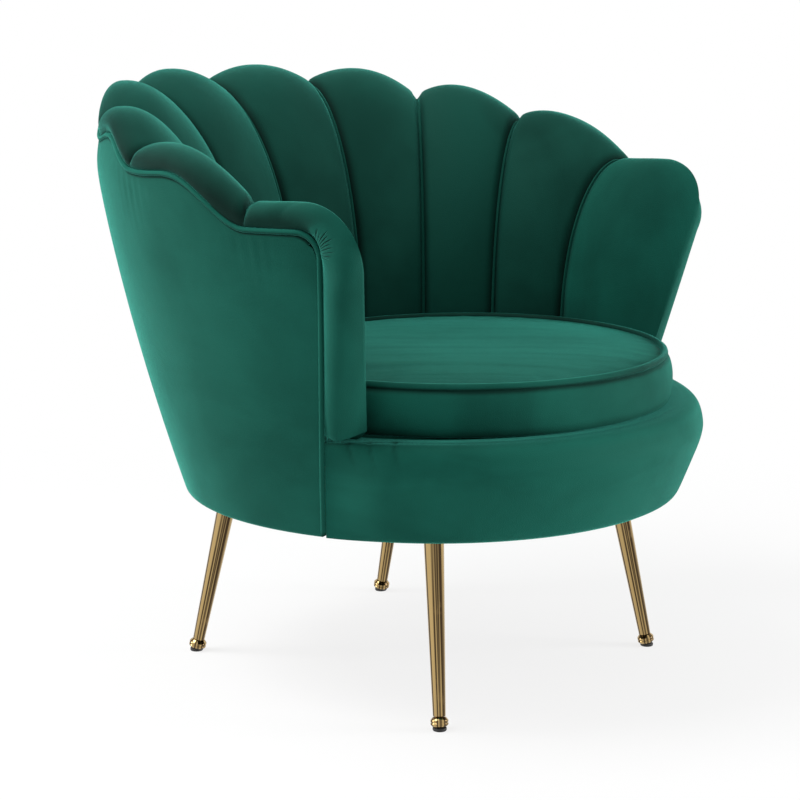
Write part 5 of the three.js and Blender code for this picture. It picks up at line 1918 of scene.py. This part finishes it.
class PipingSettings(bpy.types.PropertyGroup):
    cord_radius: length("Cord radius", 0.0031, "Radius of the piping round the shell")
    groove_depth: length("Groove depth", 0.0032, "How far the covers turn in beside the piping")
    groove_width: length("Groove width", 0.0024, "Width of the pressed pile beside the piping")
    flange_depth: length("Flange depth", 0.008, "Width of the piping's flange on the outside of the frame")
    flange_turn: length("Flange turn", 0.013, "How far the piping's flange goes over the frame's edge")
    flange_overlap: length("Flange overlap", 0.03, "How far the flange goes on below the deck")
    hem_radius: length("Hem radius", 0.005, "Radius of the cover's turn under the shell")
    hem_width: length("Hem width", 0.016, "How far the cover goes on under the frame")
    cover_lining: length("Cover thickness", 0.003, "Thickness of the outside cover")
    pull_depth: length("Pull depth", 0.0022, "Depth of the dimples under the scallop's notches")
    pull_reach: length("Pull reach", 0.034, "Size of the dimples under the scallop's notches")
    least_step: length("Least step", 0.0004, "Points of the piping's line closer than this are left out")


class SeatSettings(bpy.types.PropertyGroup):
    apron_pressure: number("Apron pressure", 3.0, "Pressure of the apron's padding")
    apron_swell: length("Apron swell", 0.0025, "The most that the apron's padding may push a point out")
    apron_blend: angle_setting("Apron blend", 0.24, "Angle over which the apron draws in beside an arm")
    # The apron's top shade and crease shade are painted shade.
    apron_top_shade: number("Apron top shade", 0.4, "How dark the pile is on the apron's top edge")
    crease_shade: number("Crease shade", 0.25, "How dark the apron's creases are")
    crease_depth: length("Crease depth", 0.0014, "Depth of the creases on the apron beside the arms")
    crease_turns: FloatVectorProperty(name="Crease places", description="Angles of the creases from the apron's end",
                                      default=(0.075, 0.15, 0.235), size=3, subtype="EULER")
    crease_widths: FloatVectorProperty(name="Crease widths", description="Half widths of the creases as angles",
                                       default=(0.008, 0.006, 0.009), size=3, subtype="EULER")
    deck_round: length("Deck edge", 0.006, "Radius of the deck's edge")
    cushion_pressure: number("Cushion pressure", 4.0, "Pressure of the cushion's filling")
    cushion_swell: length("Cushion swell", 0.006, "The most that the filling may push a point out")
    zip_margin: length("Zip margin", 0.02, "How far round the zip the boxing stays flat")
    dip_depth: length("Dip depth", 0.003, "Depth of the dip in the cushion's middle")
    dip_reach: length("Dip reach", 0.12, "Radius of the dip in the cushion's middle")
    ripple_height: length("Ripple height", 0.0006, "Height of the ripples inside the cushion's piping")
    ripple_reach: length("Ripple reach", 0.03, "How far in from the piping the ripples go")
    # The seam shade, the piping's shade on the sitter's left and their reach set painted shade on the cushion.
    seam_shade: number("Seam shade", 0.9, "How dark the pile is in the cushion's seams")
    piping_side_shade: number("Pile shade", 0.85, "How dark the piping is where its pile lies away from the light")
    seam_reach: length("Seam reach", 0.007, "How far from a seam the cushion's pile is darker")
    panel_thickness: length("Panel thickness", 0.0028, "Thickness of the cushion's cover")
    tooth_pitch: length("Tooth pitch", 0.0025, "Distance from tooth to tooth along the zip")
    slider_size: length("Slider size", 0.009, "Length of the zip's slider")


class VelvetSettings(bpy.types.PropertyGroup):
    colour: colour("Pile colour", (0.005, 0.095, 0.068), "Colour of the pile where it lies towards the light")
    # The deep colour is both the pile's brushed patches and the colour of all painted shade.
    deep_colour: colour("Deep colour", (0.001, 0.024, 0.017), "Colour of the pile where it lies away from the light")
    sheen_colour: colour("Sheen colour", (0.1, 0.68, 0.54), "Colour of the pile's sheen at grazing angles")
    sheen: number("Sheen", 0.8, "Strength of the sheen")
    sheen_roughness: number("Sheen roughness", 0.3, "Spread of the sheen")
    brush_strength: number("Brush marks", 0.5, "Contrast of the brushed patches")
    pile_length: length("Pile length", 0.0004, "Height of the pile's relief")
    tuck_count: number("Tucks", 38.0, "Tucks in a whole turn round the arm's corner")
    tuck_depth: length("Tuck depth", 0.0016, "Depth of the tucks")
    tuck_length: length("Tuck length", 0.028, "Length of the longest tuck")
    tuck_drop: length("Tuck drop", 0.014, "How far the tucks' centre is below the piping's corner")
    tuck_forward: length("Tuck forward", 0.005, "How far the tucks' centre is in front of the piping's corner")
    tuck_low: angle_setting("Tuck start", -0.15, "Lowest angle above level of the tucks")


class MetalSettings(bpy.types.PropertyGroup):
    gold: colour("Gold", (0.5, 0.35, 0.15), "Colour of the plated legs")
    # The dark gold and the two streak levels paint dark reflections as streaks along the legs.
    painted_reflection_gold: colour("Dark gold", (0.055, 0.035, 0.018), "Colour of the plating's dark drawn streaks")
    rubbed_gold: colour("Rubbed gold", (0.36, 0.24, 0.1), "Colour of the plating where it is rubbed")
    reflection_streak_low: number("Streak low", 0.38, "Where in the drawn grain the dark streaks end")
    reflection_streak_high: number("Streak high", 0.56, "Where in the drawn grain the bright streaks start")
    roughness: number("Roughness", 0.08, "Roughness of the polished plating")
    collar_height: length("Collar height", 0.012, "Height of the collar at the leg's top")
    edge_radius: length("Edge radius", 0.0008, "Radius of the turned edges")
    screw_radius: length("Screw radius", 0.004, "Radius of the plate's screw heads")
    staple_inset: length("Staple inset", 0.009, "Distance of the staples from the lining's edge")
    staple_pitch: length("Staple pitch", 0.034, "Distance from staple to staple")
    staple_width: length("Staple width", 0.011, "Length of a staple's crown")
    staple_wire: length("Staple wire", 0.0009, "Thickness of a staple's wire")


class StageSettings(bpy.types.PropertyGroup):
    floor: colour("Floor", (0.9, 0.9, 0.9), "Colour of the floor")
    floor_shade: colour("Floor shade", (0.86, 0.86, 0.865), "Second colour of the floor's faint mottle")
    floor_radius: length("Floor radius", 12.0, "Radius of the floor")
    floor_glow: number("Floor glow", 0.78, "Share of the backdrop's plain white in the floor near the chair")
    shadow_reach: length("Shadow reach", 1.4, "Distance from the chair at which the floor is as plain as the backdrop")
    backdrop: colour("Backdrop", (1.0, 1.0, 1.0), "Colour behind the chair")
    sky: colour("Sky", (1.0, 1.0, 1.0), "Colour of the soft light from all round")
    sky_strength: number("Sky strength", 0.5, "Strength of the soft light from all round")
    key_power: number("Key power", 55.0, "Power of the main lamp in watts")
    key_place: place_setting("Key place", (-1.2, 0.9, 2.8), "Place of the main lamp")
    key_size: size_setting("Key size", (1.6, 1.6), "Width and height of the main lamp")
    fill_power: number("Fill power", 60.0, "Power of the lamp in front of the chair in watts")
    fill_place: place_setting("Fill place", (1.7, -2.3, 0.8), "Place of the lamp in front of the chair")
    fill_size: size_setting("Fill size", (1.0, 1.8), "Width and height of the lamp in front of the chair")
    rim_power: number("Rim power", 32.0, "Power of the lamp behind the sitter's right in watts")
    rim_place: place_setting("Rim place", (-1.7, 1.9, 0.8), "Place of the lamp behind the sitter's right")
    rim_size: size_setting("Rim size", (0.8, 1.8), "Width and height of that lamp")
    azimuth: angle_setting("Camera azimuth", math.radians(-49.565), "Angle of the camera round the chair")
    elevation: angle_setting("Camera elevation", math.radians(11.278), "Angle of the camera above the floor")
    distance: length("Camera distance", 2.88, "Distance of the camera from its target")
    target_height: length("Target height", 0.33633, "Height of the camera's target above the floor")
    lens: number("Lens", 99.0, "Focal length in millimetres")
    sensor_width: number("Sensor width", 36.0, "Sensor width in millimetres")


SETTINGS = {
    "chair_channels": ChannelSettings,
    "chair_piping": PipingSettings,
    "chair_seat": SeatSettings,
    "chair_velvet": VelvetSettings,
    "chair_metal": MetalSettings,
    "chair_stage": StageSettings,
}

OPERATORS = (
    CHAIR_OT_stage,
    CHAIR_OT_channels,
    CHAIR_OT_outside,
    CHAIR_OT_seat_base,
    CHAIR_OT_cushion,
    CHAIR_OT_legs,
    CHAIR_OT_frame,
)


class CHAIR_PT_panel(bpy.types.Panel):
    """Lists the chair's pieces and its stage"""

    bl_idname = "CHAIR_PT_panel"
    bl_label = "Tub Chair"
    bl_space_type = "VIEW_3D"
    bl_region_type = "UI"
    bl_category = "Tub Chair"

    def draw(self, context):
        for operator in OPERATORS:
            self.layout.operator(operator.bl_idname)
        for name, settings in SETTINGS.items():
            box = self.layout.box()
            for key in settings.__annotations__:
                box.prop(getattr(context.scene, name), key)


CLASSES = (*SETTINGS.values(), *OPERATORS, CHAIR_PT_panel)


def register():
    for item in CLASSES:
        bpy.utils.register_class(item)
    for name, settings in SETTINGS.items():
        setattr(bpy.types.Scene, name, PointerProperty(type=settings))


def unregister():
    for name in SETTINGS:
        delattr(bpy.types.Scene, name)
    for item in reversed(CLASSES):
        bpy.utils.unregister_class(item)


def main():
    register()
    bpy.ops.chair.stage()
    bpy.ops.chair.channels()
    bpy.ops.chair.outside()
    bpy.ops.chair.seat_base()
    bpy.ops.chair.cushion()
    bpy.ops.chair.legs()
    bpy.ops.chair.frame()


if __name__ == "__main__":
    main()
